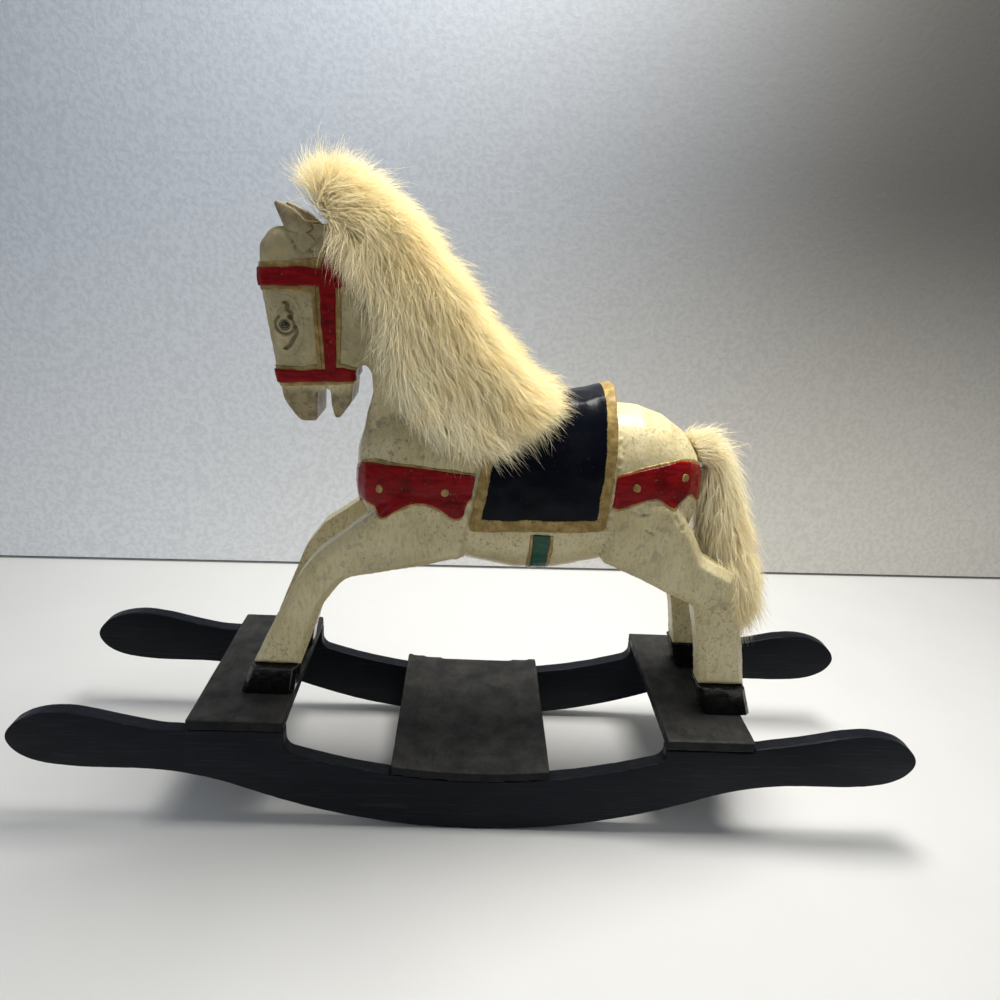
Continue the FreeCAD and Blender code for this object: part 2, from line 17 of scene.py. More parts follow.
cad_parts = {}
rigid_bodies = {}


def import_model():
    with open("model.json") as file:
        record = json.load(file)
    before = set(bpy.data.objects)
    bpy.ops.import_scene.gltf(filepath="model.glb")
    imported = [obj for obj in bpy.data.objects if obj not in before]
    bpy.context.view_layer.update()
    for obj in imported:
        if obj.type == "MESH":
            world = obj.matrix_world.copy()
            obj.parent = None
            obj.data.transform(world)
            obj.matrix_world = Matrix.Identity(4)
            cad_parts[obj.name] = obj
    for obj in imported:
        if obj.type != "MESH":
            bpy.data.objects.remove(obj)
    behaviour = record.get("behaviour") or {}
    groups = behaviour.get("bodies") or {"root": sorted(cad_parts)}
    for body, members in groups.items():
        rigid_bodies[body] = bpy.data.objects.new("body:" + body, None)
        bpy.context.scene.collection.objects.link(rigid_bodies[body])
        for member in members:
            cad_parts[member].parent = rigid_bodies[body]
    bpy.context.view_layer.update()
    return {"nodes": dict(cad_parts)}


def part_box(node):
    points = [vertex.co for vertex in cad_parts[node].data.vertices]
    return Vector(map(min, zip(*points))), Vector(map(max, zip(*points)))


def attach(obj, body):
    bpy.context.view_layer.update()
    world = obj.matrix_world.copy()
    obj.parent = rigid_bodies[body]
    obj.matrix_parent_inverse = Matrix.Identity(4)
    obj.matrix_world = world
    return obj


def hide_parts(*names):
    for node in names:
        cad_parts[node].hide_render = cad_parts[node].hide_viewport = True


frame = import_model()
NODES = frame["nodes"]
MM = 0.001

# ---------------------------------------------------------------- named sizes, in millimetres
CAMERA_PLACE = (-7.4, -301.0, 248.3)
CAMERA_YAW, CAMERA_PITCH, CAMERA_ROLL = 2.765, 20.28, -3.49    # degrees
CAMERA_LENS, CAMERA_SENSOR = 27.04, 36.0

CARVE_VOXEL = 0.75
BOARD_VOXEL = 0.8
TRIM_VOXEL = 0.42
MIDDLE_BOARD_HALF = 12.5
NECK_JOINT = [(-120, 158), (-52.4, 158), (-52.4, 165), (0.5, 165), (6, 181), (6, 300), (-120, 300)]
FRONT_JOINT = ((-6.5, 117.7), (0.5, 166.0))
REAR_JOINT = ((49.4, 118.0), (52.4, 166.0))
EYE = (-78.0, 207.6)
MANE_HAIRS, TAIL_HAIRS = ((7000, 7000))
HAIR_RADIUS = 0.10
# the wall's distance behind the horse, its turn away to the right and its gap over the floor, in metres
WALL_Y, WALL_SLOPE, WALL_GAP = 0.218, 0.042, 0.0022


# ---------------------------------------------------------------- mesh helpers
def linked(name, data):
    """A new object in the scene, around that mesh, camera or lamp."""
    obj = bpy.data.objects.new(name, data)
    bpy.context.scene.collection.objects.link(obj)
    return obj


def new_object(name, verts, faces, smooth=True):
    mesh = bpy.data.meshes.new(name)
    mesh.from_pydata([tuple(v) for v in verts], [], faces)
    mesh.validate()
    if smooth:
        mesh.shade_smooth()
    return linked(name, mesh)


def big_mesh(name, verts, tris):
    """A mesh of triangles straight from arrays, for the hair."""
    mesh = bpy.data.meshes.new(name)
    mesh.vertices.add(len(verts))
    mesh.vertices.foreach_set("co", np.asarray(verts, np.float32).ravel())
    mesh.loops.add(len(tris) * 3)
    mesh.loops.foreach_set("vertex_index", np.asarray(tris, np.int32).ravel())
    mesh.polygons.add(len(tris))
    mesh.polygons.foreach_set("loop_start", np.arange(0, len(tris) * 3, 3, dtype=np.int32))
    mesh.polygons.foreach_set("loop_total", np.full(len(tris), 3, np.int32))
    mesh.polygons.foreach_set("use_smooth", np.ones(len(tris), bool))
    mesh.update(calc_edges=True)
    return linked(name, mesh)


def vectors_of(items, field):
    out = np.empty(len(items) * 3, np.float32)
    items.foreach_get(field, out)
    return out.reshape(-1, 3).astype(float)


def points_of(obj):
    return vectors_of(obj.data.vertices, "co")


def normals_of(obj):
    return vectors_of(obj.data.vertex_normals, "vector")


def set_points(obj, co):
    obj.data.vertices.foreach_set("co", np.asarray(co, np.float32).ravel())
    obj.data.update()


def store(obj, name, values):
    found = obj.data.attributes.get(name) or obj.data.attributes.new(name, "FLOAT", "POINT")
    found.data.foreach_set("value", np.asarray(values, np.float32))


def apply_modifiers(obj):
    evaluated = obj.evaluated_get(bpy.context.evaluated_depsgraph_get())
    mesh = bpy.data.meshes.new_from_object(evaluated)
    obj.modifiers.clear()
    old = obj.data
    obj.data = mesh
    bpy.data.meshes.remove(old)
    return obj


def copied(name, *sources):
    """The meshes of several objects, joined as one new object."""
    joined = bmesh.new()
    for source in sources:
        joined.from_mesh(source.data)
    mesh = bpy.data.meshes.new(name)
    bmesh.ops.remove_doubles(joined, verts=joined.verts, dist=1e-7)
    joined.to_mesh(mesh)
    joined.free()
    return linked(name, mesh)


def remeshed(obj, voxel):
    modifier = obj.modifiers.new("voxels", "REMESH")
    modifier.mode = "VOXEL"
    modifier.voxel_size = voxel * MM
    modifier.use_smooth_shade = True
    return apply_modifiers(obj)


def boolean(obj, other, operation):
    modifier = obj.modifiers.new("cut", "BOOLEAN")
    modifier.operation = operation
    modifier.solver = "MANIFOLD"
    modifier.object = other
    return apply_modifiers(obj)


def removed(*objs):
    for obj in objs:
        bpy.data.objects.remove(obj)


def cut_by(obj, cutter, operation="DIFFERENCE"):
    """Cuts the object with a cutter that is used once and thrown away."""
    boolean(obj, cutter, operation)
    removed(cutter)
    return obj


def edges_of(obj):
    """The mesh's edges, and how many of them meet at each vertex."""
    edges = np.empty(len(obj.data.edges) * 2, np.int32)
    obj.data.edges.foreach_get("vertices", edges)
    counts = np.maximum(np.bincount(edges, minlength=len(obj.data.vertices)), 1)
    return edges.reshape(-1, 2), counts


def neighbour_mean(values, edges, counts):
    total = np.zeros_like(values)
    for column in range(values.shape[1]):
        total[:, column] = (np.bincount(edges[:, 0], values[edges[:, 1], column], len(values))
                            + np.bincount(edges[:, 1], values[edges[:, 0], column], len(values)))
    return total / counts[:, None]


def relaxed(obj, rounds, weight):
    """Smooths the mesh without shrinking it; weight is one number or one for each vertex."""
    co = points_of(obj)
    edges, counts = edges_of(obj)
    share = np.broadcast_to(np.asarray(weight, float), (len(co),))[:, None]
    for _ in range(rounds):
        co = co + share * 0.60 * (neighbour_mean(co, edges, counts) - co)
        co = co - share * 0.61 * (neighbour_mean(co, edges, counts) - co)
    set_points(obj, co)


def hollowness(obj, rounds=14):
    """How far each vertex lies below its smoothed surroundings, in mm: positive in grooves."""
    co = points_of(obj)
    edges, counts = edges_of(obj)
    mean = co
    for _ in range(rounds):
        mean = neighbour_mean(mean, edges, counts)
    return ((mean - co) * normals_of(obj)).sum(1) / MM


def softened(name, node, voxel, rounds, weight):
    """The CAD node's solid with its edges rounded over."""
    piece = remeshed(copied(name, NODES[node]), voxel)
    relaxed(piece, rounds, weight)
    return piece


def tree_of(points):
    tree = KDTree(len(points))
    for i, point in enumerate(points):
        tree.insert(point, i)
    tree.balance()
    return tree


def unit(v):
    return v / (np.linalg.norm(v, axis=-1)[..., None] + 1e-12)


def ramp(values, low, high):
    """0 below low and 1 above high, rising smoothly between them."""
    t = np.clip((np.asarray(values, float) - low) / (high - low), 0, 1)
    return t * t * (3 - 2 * t)


def rough_field(co, size, seed=0.0, octaves=3):
    """Smooth noise about zero at each point, with features of the given size in mm."""
    scale = 1.0 / (size * MM)
    shift = Vector((seed, seed * 1.7, -seed))
    return np.array([noise.fractal(Vector(p) * scale + shift, 0.8, 2.1, octaves) for p in co])


# ---------------------------------------------------------------- outlines in the side view
def bent(points, per_span=6, closed=True):
    """A Catmull-Rom curve through side-view points, in mm."""
    pts = np.array(points, float)
    count = len(pts)
    spans = range(count) if closed else range(count - 1)
    out = []
    for i in spans:
        if closed:
            a, b, c, d = pts[i - 1], pts[i], pts[(i + 1) % count], pts[(i + 2) % count]
        else:
            a, b, c, d = pts[max(i - 1, 0)], pts[i], pts[i + 1], pts[min(i + 2, count - 1)]
        for t in np.arange(per_span) / per_span:
            out.append(0.5 * (2 * b + (c - a) * t + (2 * a - 5 * b + 4 * c - d) * t * t
                              + (3 * b - a - 3 * c + d) * t ** 3))
    if not closed:
        out.append(pts[-1])
    return np.array(out)


def twice_area(pts):
    return np.sum(pts[:, 0] * np.roll(pts[:, 1], -1) - np.roll(pts[:, 0], -1) * pts[:, 1])


def square_to(pts):
    """The direction square to a closed outline at each of its points."""
    along = np.roll(pts, -1, 0) - np.roll(pts, 1, 0)
    along /= np.linalg.norm(along, axis=1)[:, None] + 1e-9
    return np.stack([-along[:, 1], along[:, 0]], 1)


def triangulated(obj, most=3):
    """Splits the faces with more corners than most and turns all faces outwards."""
    solid = bmesh.new()
    solid.from_mesh(obj.data)
    bmesh.ops.triangulate(solid, faces=[f for f in solid.faces if len(f.verts) > most])
    bmesh.ops.recalc_face_normals(solid, faces=solid.faces)
    solid.to_mesh(obj.data)
    solid.free()
    return obj


def prism(outline, y_from=-60.0, y_to=60.0):
    """A side-view outline as a closed block between two Y positions, all in mm."""
    pts = np.array(outline, float)
    if twice_area(pts) < 0:
        pts = pts[::-1]
    count = len(pts)
    verts = [(x * MM, y * MM, z * MM) for y in (y_from, y_to) for x, z in pts]
    faces = [tuple(range(count)), tuple(range(2 * count - 1, count - 1, -1))]
    faces += [(i, i + count, (i + 1) % count + count, (i + 1) % count) for i in range(count)]
    return triangulated(new_object("cutter", verts, faces, smooth=False))


def nearest_on(path, x, z):
    """Distance in mm to a polyline and its direction there, for side-view points."""
    pts = np.array(path, float)
    best, heading = np.full(len(x), 1e9), np.zeros((len(x), 2))
    for (ax, az), (bx, bz) in zip(pts[:-1], pts[1:]):
        dx, dz = bx - ax, bz - az
        t = np.clip(((x - ax) * dx + (z - az) * dz) / (dx * dx + dz * dz), 0, 1)
        off = np.hypot(x - ax - t * dx, z - az - t * dz)
        nearer = off < best
        best = np.where(nearer, off, best)
        heading[nearer] = np.array([dx, dz]) / math.hypot(dx, dz)
    return best, heading


def distance_to(path, x, z):
    return nearest_on(path, x, z)[0]


def joint_x(joint, z):
    (x0, z0), (x1, z1) = joint
    return x0 + (x1 - x0) * (z - z0) / (z1 - z0)


# ---------------------------------------------------------------- materials
class Paint:
    """A Principled material built up node by node, in object space."""

    def __init__(self, name, roughness=0.5, **sockets):
        self.material = bpy.data.materials.new(name)
        self.material.use_nodes = True
        self.nodes = self.material.node_tree.nodes
        self.links = self.material.node_tree.links
        self.shader = self.nodes["Principled BSDF"]
        self.shader.inputs["Roughness"].default_value = roughness
        for socket, value in sockets.items():
            self.shader.inputs[socket.replace("_", " ")].default_value = value
        self.place = self.nodes.new("ShaderNodeTexCoord").outputs["Object"]

    def put(self, value, socket):
        if isinstance(value, (int, float)):
            socket.default_value = value
        elif isinstance(value, (tuple, list)):
            whole = len(value) == 4 or socket.type == "VECTOR"
            socket.default_value = tuple(value) if whole else (*value, 1.0)
        else:
            self.links.new(value, socket)

    def stretched(self, scale):
        node = self.nodes.new("ShaderNodeMapping")
        self.links.new(self.place, node.inputs["Vector"])
        node.inputs["Scale"].default_value = scale
        return node.outputs["Vector"]

    def noise(self, size, detail=4.0, rough=0.55, stretch=(1, 1, 1), distortion=0.0):
        """Noise with features of that size in mm, from 0 to 1."""
        node = self.nodes.new("ShaderNodeTexNoise")
        self.links.new(self.stretched(stretch), node.inputs["Vector"])
        node.inputs["Scale"].default_value = 1000.0 / size
        node.inputs["Detail"].default_value = detail
        node.inputs["Roughness"].default_value = rough
        node.inputs["Distortion"].default_value = distortion
        return node.outputs["Fac"]

    def attribute(self, name):
        node = self.nodes.new("ShaderNodeAttribute")
        node.attribute_name = name
        return node.outputs["Fac"]

    def math(self, operation, a, b=0.0, clamp=False):
        node = self.nodes.new("ShaderNodeMath")
        node.operation = operation
        node.use_clamp = clamp
        self.put(a, node.inputs[0])
        self.put(b, node.inputs[1])
        return node.outputs[0]

    def times(self, a, b):
        return self.math("MULTIPLY", a, b)

    def over(self, base, mask, strength, tint):
        """base with tint laid over it where mask is, at that strength."""
        return self.mix(self.times(mask, strength), base, tint)

    def patches(self, size, detail, low, high, rough=0.55):
        """Noise of that size in mm, cut to patches: 0 below low and 1 above high."""
        return self.span(self.noise(size, detail, rough), low, high)

    def span(self, value, low, high, to_low=0.0, to_high=1.0):
        """value mapped smoothly from low..high to to_low..to_high."""
        node = self.nodes.new("ShaderNodeMapRange")
        node.interpolation_type = "SMOOTHSTEP"
        self.put(value, node.inputs["Value"])
        node.inputs["From Min"].default_value = low
        node.inputs["From Max"].default_value = high
        node.inputs["To Min"].default_value = to_low
        node.inputs["To Max"].default_value = to_high
        return node.outputs["Result"]

    def mix(self, share, a, b, blend="MIX"):
        node = self.nodes.new("ShaderNodeMix")
        node.data_type = "RGBA"
        node.blend_type = blend
        self.put(share, node.inputs["Factor"])
        self.put(a, node.inputs[6])
        self.put(b, node.inputs[7])
        return node.outputs[2]

    def colour(self, value):
        self.put(value, self.shader.inputs["Base Color"])

    def rough(self, value):
        self.put(value, self.shader.inputs["Roughness"])

    def bump(self, height, depth):
        """height from 0 to 1 raises the surface by depth in mm; calls stack up."""
        node = self.nodes.new("ShaderNodeBump")
        node.inputs["Strength"].default_value = 1.0
        node.inputs["Distance"].default_value = depth * MM
        self.put(height, node.inputs["Height"])
        socket = self.shader.inputs["Normal"]
        if socket.is_linked:
            self.links.new(socket.links[0].from_socket, node.inputs["Normal"])
        self.links.new(node.outputs["Normal"], socket)


def cream_paint():
    """Old ivory gloss paint: yellowed in clouds, grimy and given painted shade in the hollows, browned by
    age and painted shade on the head and under the belly, speckled and scratched.
    """
    p = Paint("cream_paint", 0.40, Specular_IOR_Level=0.35, Coat_Weight=0.12, Coat_Roughness=0.22)
    clouds = p.patches(22, 5, 0.35, 0.68)
    base = p.mix(clouds, (0.66, 0.56, 0.31), (0.75, 0.66, 0.40))
    yellow = p.span(p.noise(9, 4, stretch=(1, 1, 0.5)), 0.50, 0.74)
    base = p.over(base, yellow, 0.5, (0.52, 0.41, 0.18))
    aged_and_shaded = p.attribute("aged_and_shaded")
    # darkened and browned by age and by painted shade on the head and under the belly
    base = p.over(base, aged_and_shaded, 0.8, (0.36, 0.30, 0.165))
    tan = p.attribute("tan")
    mottled = p.mix(p.patches(3.0, 5, 0.42, 0.62), (0.36, 0.275, 0.14), (0.17, 0.13, 0.07))
    base = p.mix(tan, base, mottled)
    # grime and painted shade: the cream goes darker in grooves and hollows, standing for dirt there and for
    # the shade that falls in them
    hollow = p.attribute("hollow")
    grime_and_shade_edge = p.math("ADD", hollow, p.span(p.noise(1.6, 5), 0.3, 0.7, -0.12, 0.12))
    grime_and_shade = p.span(grime_and_shade_edge, 0.24, 0.62)
    base = p.over(base, grime_and_shade, 0.75, (0.17, 0.145, 0.08))
    specks = p.times(p.patches(0.9, 2, 0.63, 0.69), p.patches(13, 3, 0.46, 0.62))
    base = p.over(base, specks, 0.7, (0.10, 0.09, 0.06))
    smear = p.times(p.patches(5.5, 6, 0.52, 0.66, 0.7), p.patches(30, 2, 0.42, 0.60))
    base = p.over(base, smear, 0.55, (0.27, 0.24, 0.15))
    scratch = p.span(p.noise(7, 2, 0.4, (1, 1, 0.2), 1.4), 0.497, 0.503)
    lines = p.times(p.times(scratch, p.math("SUBTRACT", 1.0, scratch)), 4.0)
    lines = p.times(lines, p.patches(18, 2, 0.54, 0.64))
    base = p.over(base, lines, 0.75, (0.14, 0.12, 0.08))
    strokes = p.noise(1.1, 4, 0.6, (1, 1, 0.22))
    base = p.over(base, p.span(strokes, 0.48, 0.66), 0.40, (0.40, 0.33, 0.18))
    pits = p.times(p.patches(1.7, 5, 0.54, 0.64, 0.7), p.patches(26, 3, 0.38, 0.58))
    base = p.over(base, pits, 0.60, (0.20, 0.17, 0.10))
    p.colour(base)
    p.rough(p.span(p.noise(7, 4), 0.3, 0.7, 0.26, 0.46))
    p.bump(p.noise(4.5, 3), 0.26)
    p.bump(strokes, 0.11)
    p.bump(p.noise(0.9, 3, 0.6), 0.05)
    return p.material


def strap_paint(name, dark, bright):
    """Brushed-on gloss colour over carved relief, streaked lengthwise."""
    p = Paint(name, 0.22, Specular_IOR_Level=0.12, Coat_Weight=0.12, Coat_Roughness=0.09)
    streaks = p.span(p.noise(2.4, 4, 0.6, (0.25, 1, 1.6)), 0.3, 0.72)
    base = p.mix(streaks, dark, bright)
    clouds = p.patches(9, 3, 0.52, 0.75)
    base = p.over(base, clouds, 0.65, tuple(0.42 * c for c in dark))
    worn = p.times(p.patches(1.1, 3, 0.63, 0.70), p.patches(9, 2, 0.52, 0.64))
    base = p.over(base, worn, 0.6, (0.30, 0.22, 0.12))
    p.colour(base)
    p.rough(p.span(p.noise(4, 4), 0.3, 0.7, 0.16, 0.34))
    p.bump(p.noise(1.5, 3, 0.6, (0.2, 1, 1.5)), 0.07)
    p.bump(p.noise(5, 2), 0.12)
    return p.material


def gold_paint():
    """Dull olive-gold brushwork, brighter in patches."""
    p = Paint("gold_paint", 0.38, Metallic=0.35)
    base = p.mix(p.patches(3.2, 5, 0.35, 0.7), (0.27, 0.175, 0.05), (0.50, 0.345, 0.125))
    base = p.over(base, p.patches(1.0, 3, 0.60, 0.72), 0.6, (0.12, 0.08, 0.025))
    p.colour(base)
    p.rough(p.span(p.noise(3, 4), 0.3, 0.7, 0.28, 0.55))
    p.bump(p.noise(0.9, 3), 0.08)
    return p.material


def saddle_paint():
    """Black gloss with a broad hand-painted gold border and dents where the seat has been handled."""
    p = Paint("saddle_paint", 0.2, Specular_IOR_Level=0.09, Coat_Weight=0.03, Coat_Roughness=0.08)
    edge = p.attribute("edge")
    wobble = p.span(p.noise(9, 2), 0.2, 0.8, -0.30, 0.30)
    fine = p.span(p.noise(0.8, 2), 0.3, 0.7, -0.12, 0.12)
    inside = p.span(p.math("ADD", p.math("ADD", edge, wobble), fine), 4.05, 4.35)
    gold = p.mix(p.patches(3.0, 5, 0.35, 0.7), (0.27, 0.185, 0.06), (0.47, 0.335, 0.13))
    dirt = p.times(p.patches(1.2, 4, 0.56, 0.70), 0.65)
    gold = p.mix(dirt, gold, (0.12, 0.085, 0.035))
    black = p.mix(p.patches(14, 4, 0.4, 0.7), (0.0022, 0.0030, 0.0065), (0.0055, 0.0065, 0.011))
    dust = p.times(p.patches(1.3, 4, 0.60, 0.72, 0.7), p.patches(10, 2, 0.5, 0.66))
    black = p.over(black, dust, 0.12, (0.22, 0.22, 0.20))
    p.colour(p.mix(inside, gold, black))
    p.rough(p.mix(inside, (0.42, 0.42, 0.42), (0.19, 0.19, 0.19)))
    p.bump(p.noise(6, 3), 0.16)
    p.bump(p.noise(1.0, 3), 0.03)
    p.bump(inside, -0.06)
    return p.material


def hoof_paint():
    p = Paint("hoof_paint", 0.16, Specular_IOR_Level=0.35, Coat_Weight=0.3, Coat_Roughness=0.06)
    base = p.mix(p.patches(4, 4, 0.35, 0.7), (0.003, 0.003, 0.0035), (0.009, 0.0085, 0.0085))
    edge = p.span(p.attribute("hollow"), -0.16, -0.30)
    worn = p.times(edge, p.patches(2.0, 3, 0.48, 0.62))
    p.colour(p.over(base, worn, 0.5, (0.20, 0.18, 0.15)))
    p.rough(p.span(p.noise(3, 3), 0.3, 0.7, 0.12, 0.30))
    p.bump(p.noise(3.2, 3), 0.16)
    return p.material


def rocker_paint():
    """Satin blue-black paint, thin enough to show the board's long grain."""
    p = Paint("rocker_paint", 0.42, Specular_IOR_Level=0.10)
    grain = p.noise(1.15, 5, 0.62, (0.045, 1, 1), 0.35)
    clouds = p.span(p.noise(30, 4, 0.5, (0.3, 1, 1)), 0.35, 0.7)
    base = p.mix(clouds, (0.0045, 0.0060, 0.0095), (0.0085, 0.0105, 0.0150))
    base = p.over(base, p.span(grain, 0.55, 0.68), 0.5, (0.024, 0.027, 0.033))
    edge = p.span(p.attribute("hollow"), -0.16, -0.34)
    worn = p.times(edge, p.patches(6.0, 5, 0.50, 0.68, 0.65))
    base = p.over(base, worn, 0.30, (0.07, 0.066, 0.06))
    p.colour(base)
    p.rough(p.span(p.noise(8, 4, 0.6, (0.4, 1, 1)), 0.3, 0.7, 0.34, 0.52))
    p.bump(grain, 0.20)
    p.bump(p.noise(14, 2, 0.5, (0.5, 1, 1)), 0.25)
    return p.material


def slat_paint():
    """The slats' black has gone grey-brown with dust and handling, mottled, with rubbed edges."""
    p = Paint("slat_paint", 0.55, Specular_IOR_Level=0.15)
    base = p.mix(p.patches(11, 6, 0.36, 0.66, 0.62), (0.019, 0.019, 0.0195), (0.042, 0.041, 0.038))
    base = p.over(base, p.patches(3.0, 6, 0.52, 0.70, 0.7), 0.45, (0.052, 0.050, 0.045))
    grain = p.noise(1.3, 4, 0.6, (1, 0.05, 1))
    base = p.over(base, p.span(grain, 0.56, 0.70), 0.35, (0.012, 0.012, 0.013))
    edge = p.span(p.attribute("hollow"), -0.12, -0.30)
    worn = p.times(edge, p.patches(5.0, 5, 0.42, 0.60, 0.7))
    base = p.over(base, worn, 0.15, (0.08, 0.075, 0.065))
    specks = p.times(p.patches(0.8, 2, 0.68, 0.72), p.patches(12, 2, 0.45, 0.6))
    base = p.over(base, specks, 0.5, (0.16, 0.15, 0.12))
    p.colour(p.mix(p.attribute("up"), (0.006, 0.0065, 0.008), base))
    p.rough(p.span(p.noise(6, 5), 0.3, 0.7, 0.40, 0.72))
    p.bump(grain, 0.14)
    p.bump(p.noise(2.2, 5, 0.6), 0.07)
    return p.material


def fur_paint():
    """Rabbit fur: each hair its own shade, creamier at the root, and letting light through."""
    p = Paint("fur", 0.6, Specular_IOR_Level=0.3, Sheen_Weight=0.5, Sheen_Roughness=0.5)
    p.shader.inputs["Sheen Tint"].default_value = (1.0, 0.93, 0.74, 1.0)
    shade, along, warm = p.attribute("shade"), p.attribute("along"), p.attribute("warm")
    pale = p.mix(shade, (0.98, 0.92, 0.70), (0.99, 0.98, 0.88))
    gold = p.mix(shade, (0.97, 0.85, 0.52), (0.99, 0.94, 0.72))
    base = p.mix(warm, pale, gold)
    base = p.mix(p.span(along, 0.0, 0.5, 0.22, 0.0), base, (0.92, 0.76, 0.40))
    clouds = p.patches(14, 3, 0.45, 0.7)
    base = p.over(base, clouds, 0.2, (0.92, 0.74, 0.36))
    p.colour(base)
    glow = p.nodes.new("ShaderNodeBsdfTranslucent")
    p.links.new(base, glow.inputs["Color"])
    both = p.nodes.new("ShaderNodeMixShader")
    both.inputs["Fac"].default_value = 0.5
    p.links.new(p.shader.outputs["BSDF"], both.inputs[1])
    p.links.new(glow.outputs["BSDF"], both.inputs[2])
    p.links.new(both.outputs["Shader"], p.nodes["Material Output"].inputs["Surface"])
    return p.material


def plain_wood():
    p = Paint("dowel_wood", 0.6)
    grain = p.noise(1.0, 4, 0.6, (1, 1, 0.08))
    p.colour(p.mix(p.span(grain, 0.4, 0.65), (0.62, 0.44, 0.26), (0.45, 0.29, 0.15)))
    p.bump(grain, 0.05)
    return p.material


def steel():
    p = Paint("steel", 0.34, Metallic=1.0)
    p.colour(p.mix(p.patches(2.0, 4, 0.4, 0.7), (0.55, 0.55, 0.56), (0.36, 0.34, 0.32)))
    p.rough(p.span(p.noise(1.2, 3), 0.3, 0.7, 0.28, 0.48))
    return p.material


def eye_black():
    p = Paint("eye_black", 0.08, Coat_Weight=1.0, Coat_Roughness=0.03)
    p.colour(p.mix(p.noise(1.0, 2), (0.004, 0.004, 0.006), (0.010, 0.010, 0.012)))
    p.bump(p.noise(1.4, 2), 0.03)
    return p.material


CREAM = cream_paint()
CRIMSON = strap_paint("crimson_paint", (0.17, 0.0027, 0.0045), (0.33, 0.0062, 0.009))
GREEN = strap_paint("green_paint", (0.018, 0.070, 0.042), (0.035, 0.115, 0.072))
GOLD = gold_paint()
SADDLE = saddle_paint()
HOOF = hoof_paint()
ROCKER = rocker_paint()
SLAT = slat_paint()
FUR = fur_paint()
WOOD = plain_wood()
STEEL = steel()
EYE_BLACK = eye_black()


def finished(obj, material, slot, *nodes):
    """Gives a piece its material and its body, and hides the CAD nodes it stands for; the slot argument is
    not used.
    """
    obj.data.materials.clear()
    obj.data.materials.append(material)
    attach(obj, "root")
    if nodes:
        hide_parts(*nodes)
    return obj


# ---------------------------------------------------------------- camera and light
def camera_axes():
    yaw, pitch, roll = (math.radians(a) for a in (CAMERA_YAW, CAMERA_PITCH, CAMERA_ROLL))
    forward = Vector((math.sin(yaw) * math.cos(pitch), math.cos(yaw) * math.cos(pitch), -math.sin(pitch)))
    right = Vector((math.cos(yaw), -math.sin(yaw), 0))
    down = forward.cross(right)
    rolled_right = math.cos(roll) * right + math.sin(roll) * down
    rolled_down = -math.sin(roll) * right + math.cos(roll) * down
    return rolled_right, -rolled_down, -forward


def make_camera():
    data = bpy.data.cameras.new("camera")
    data.lens, data.sensor_width = CAMERA_LENS, CAMERA_SENSOR
    data.clip_start = 0.01
    camera = linked("camera", data)
    columns = camera_axes()
    matrix = Matrix([[columns[c][r] for c in range(3)] for r in range(3)]).to_4x4()
    matrix.translation = Vector(CAMERA_PLACE) * MM
    camera.matrix_world = matrix
    bpy.context.scene.camera = camera


def area_light(name, place, target, size, power, tint):
    data = bpy.data.lights.new(name, "AREA")
    data.shape = "RECTANGLE"
    data.size, data.size_y = size
    data.energy = power
    data.color = tint
    lamp = linked(name, data)
    lamp.location = place
    lamp.rotation_euler = (Vector(target) - Vector(place)).to_track_quat("-Z", "Y").to_euler()
    return lamp


def make_stage():
    """A pale table against a wall, which stops just above it and turns away to the right; the wall's colour
    carries painted light and shade, pale and bluish low and to the left, darker towards the top and the
    right.
    """
    corners = [(-2, -2, 0), (2, -2, 0), (2, 1, 0), (-2, 1, 0)]
    floor = new_object("floor", corners, [(0, 1, 2, 3)], smooth=False)
    p = Paint("floor_paper", 0.7)
    p.colour(p.mix(p.noise(60, 3), (0.66, 0.66, 0.655), (0.71, 0.71, 0.705)))
    p.bump(p.noise(3, 2), 0.03)
    floor.data.materials.append(p.material)
    corners = [(x, WALL_Y + WALL_SLOPE * x + y, z)
               for x in (-2, 2) for y in (0, 0.01) for z in (WALL_GAP, 1.2)]
    sides = [(0, 1, 3, 2), (4, 6, 7, 5), (0, 4, 5, 1), (2, 3, 7, 6), (0, 2, 6, 4), (1, 5, 7, 3)]
    wall = new_object("wall", corners, sides, smooth=False)
    p = Paint("wall_painted_shade", 0.8)
    place = p.nodes.new("ShaderNodeSeparateXYZ")
    p.links.new(p.place, place.inputs["Vector"])
    # painted light and shade on the wall: pale low down, bluish to the left, and darker towards the top and
    # the right, where less light falls
    sideways = p.span(place.outputs["X"], -0.28, 0.30)
    low = p.mix(sideways, (0.80, 0.83, 0.87), (0.70, 0.68, 0.63))
    high = p.mix(sideways, (0.52, 0.57, 0.65), (0.085, 0.082, 0.076))
    base = p.mix(p.span(place.outputs["Z"], 0.0, 0.30), low, high)
    p.colour(p.over(base, p.patches(3.2, 4, 0.40, 0.62, 0.6), 0.13, (0.10, 0.10, 0.11)))
    p.bump(p.noise(3.2, 4, 0.6), 0.2)
    wall.data.materials.append(p.material)
    world = bpy.data.worlds.new("studio")
    bpy.context.scene.world = world
    world.use_nodes = True
    sky = world.node_tree.nodes["Background"]
    sky.inputs["Color"].default_value = (0.90, 0.94, 1.0, 1.0)
    sky.inputs["Strength"].default_value = 0.18
    area_light("overhead", (0.10, 0.05, 0.60), (0.06, 0.03, 0.0), (0.26, 0.20), 4.7, (1.0, 0.98, 0.93))
    area_light("window", (-0.8, -0.7, 0.7), (0, 0, 0.12), (0.7, 0.7), 1.3, (0.86, 0.93, 1.0))
    bpy.context.scene.view_settings.view_transform = "Standard"


def light_the_fur():
    """A lamp that only the fur receives, for the light that passes from hair to hair."""
    aim = (-0.01, 0, 0.19)
    lamp = area_light("fur_glow", (0.20, -0.42, 0.52), aim, (0.35, 0.35), 3.0, (1.0, 0.98, 0.94))
    furs = bpy.data.collections.new("furs")
    for piece in bpy.data.objects:
        if piece.type == "MESH" and FUR.name in piece.data.materials:
            furs.objects.link(piece)
    lamp.light_linking.receiver_collection = furs


make_camera()
make_stage()


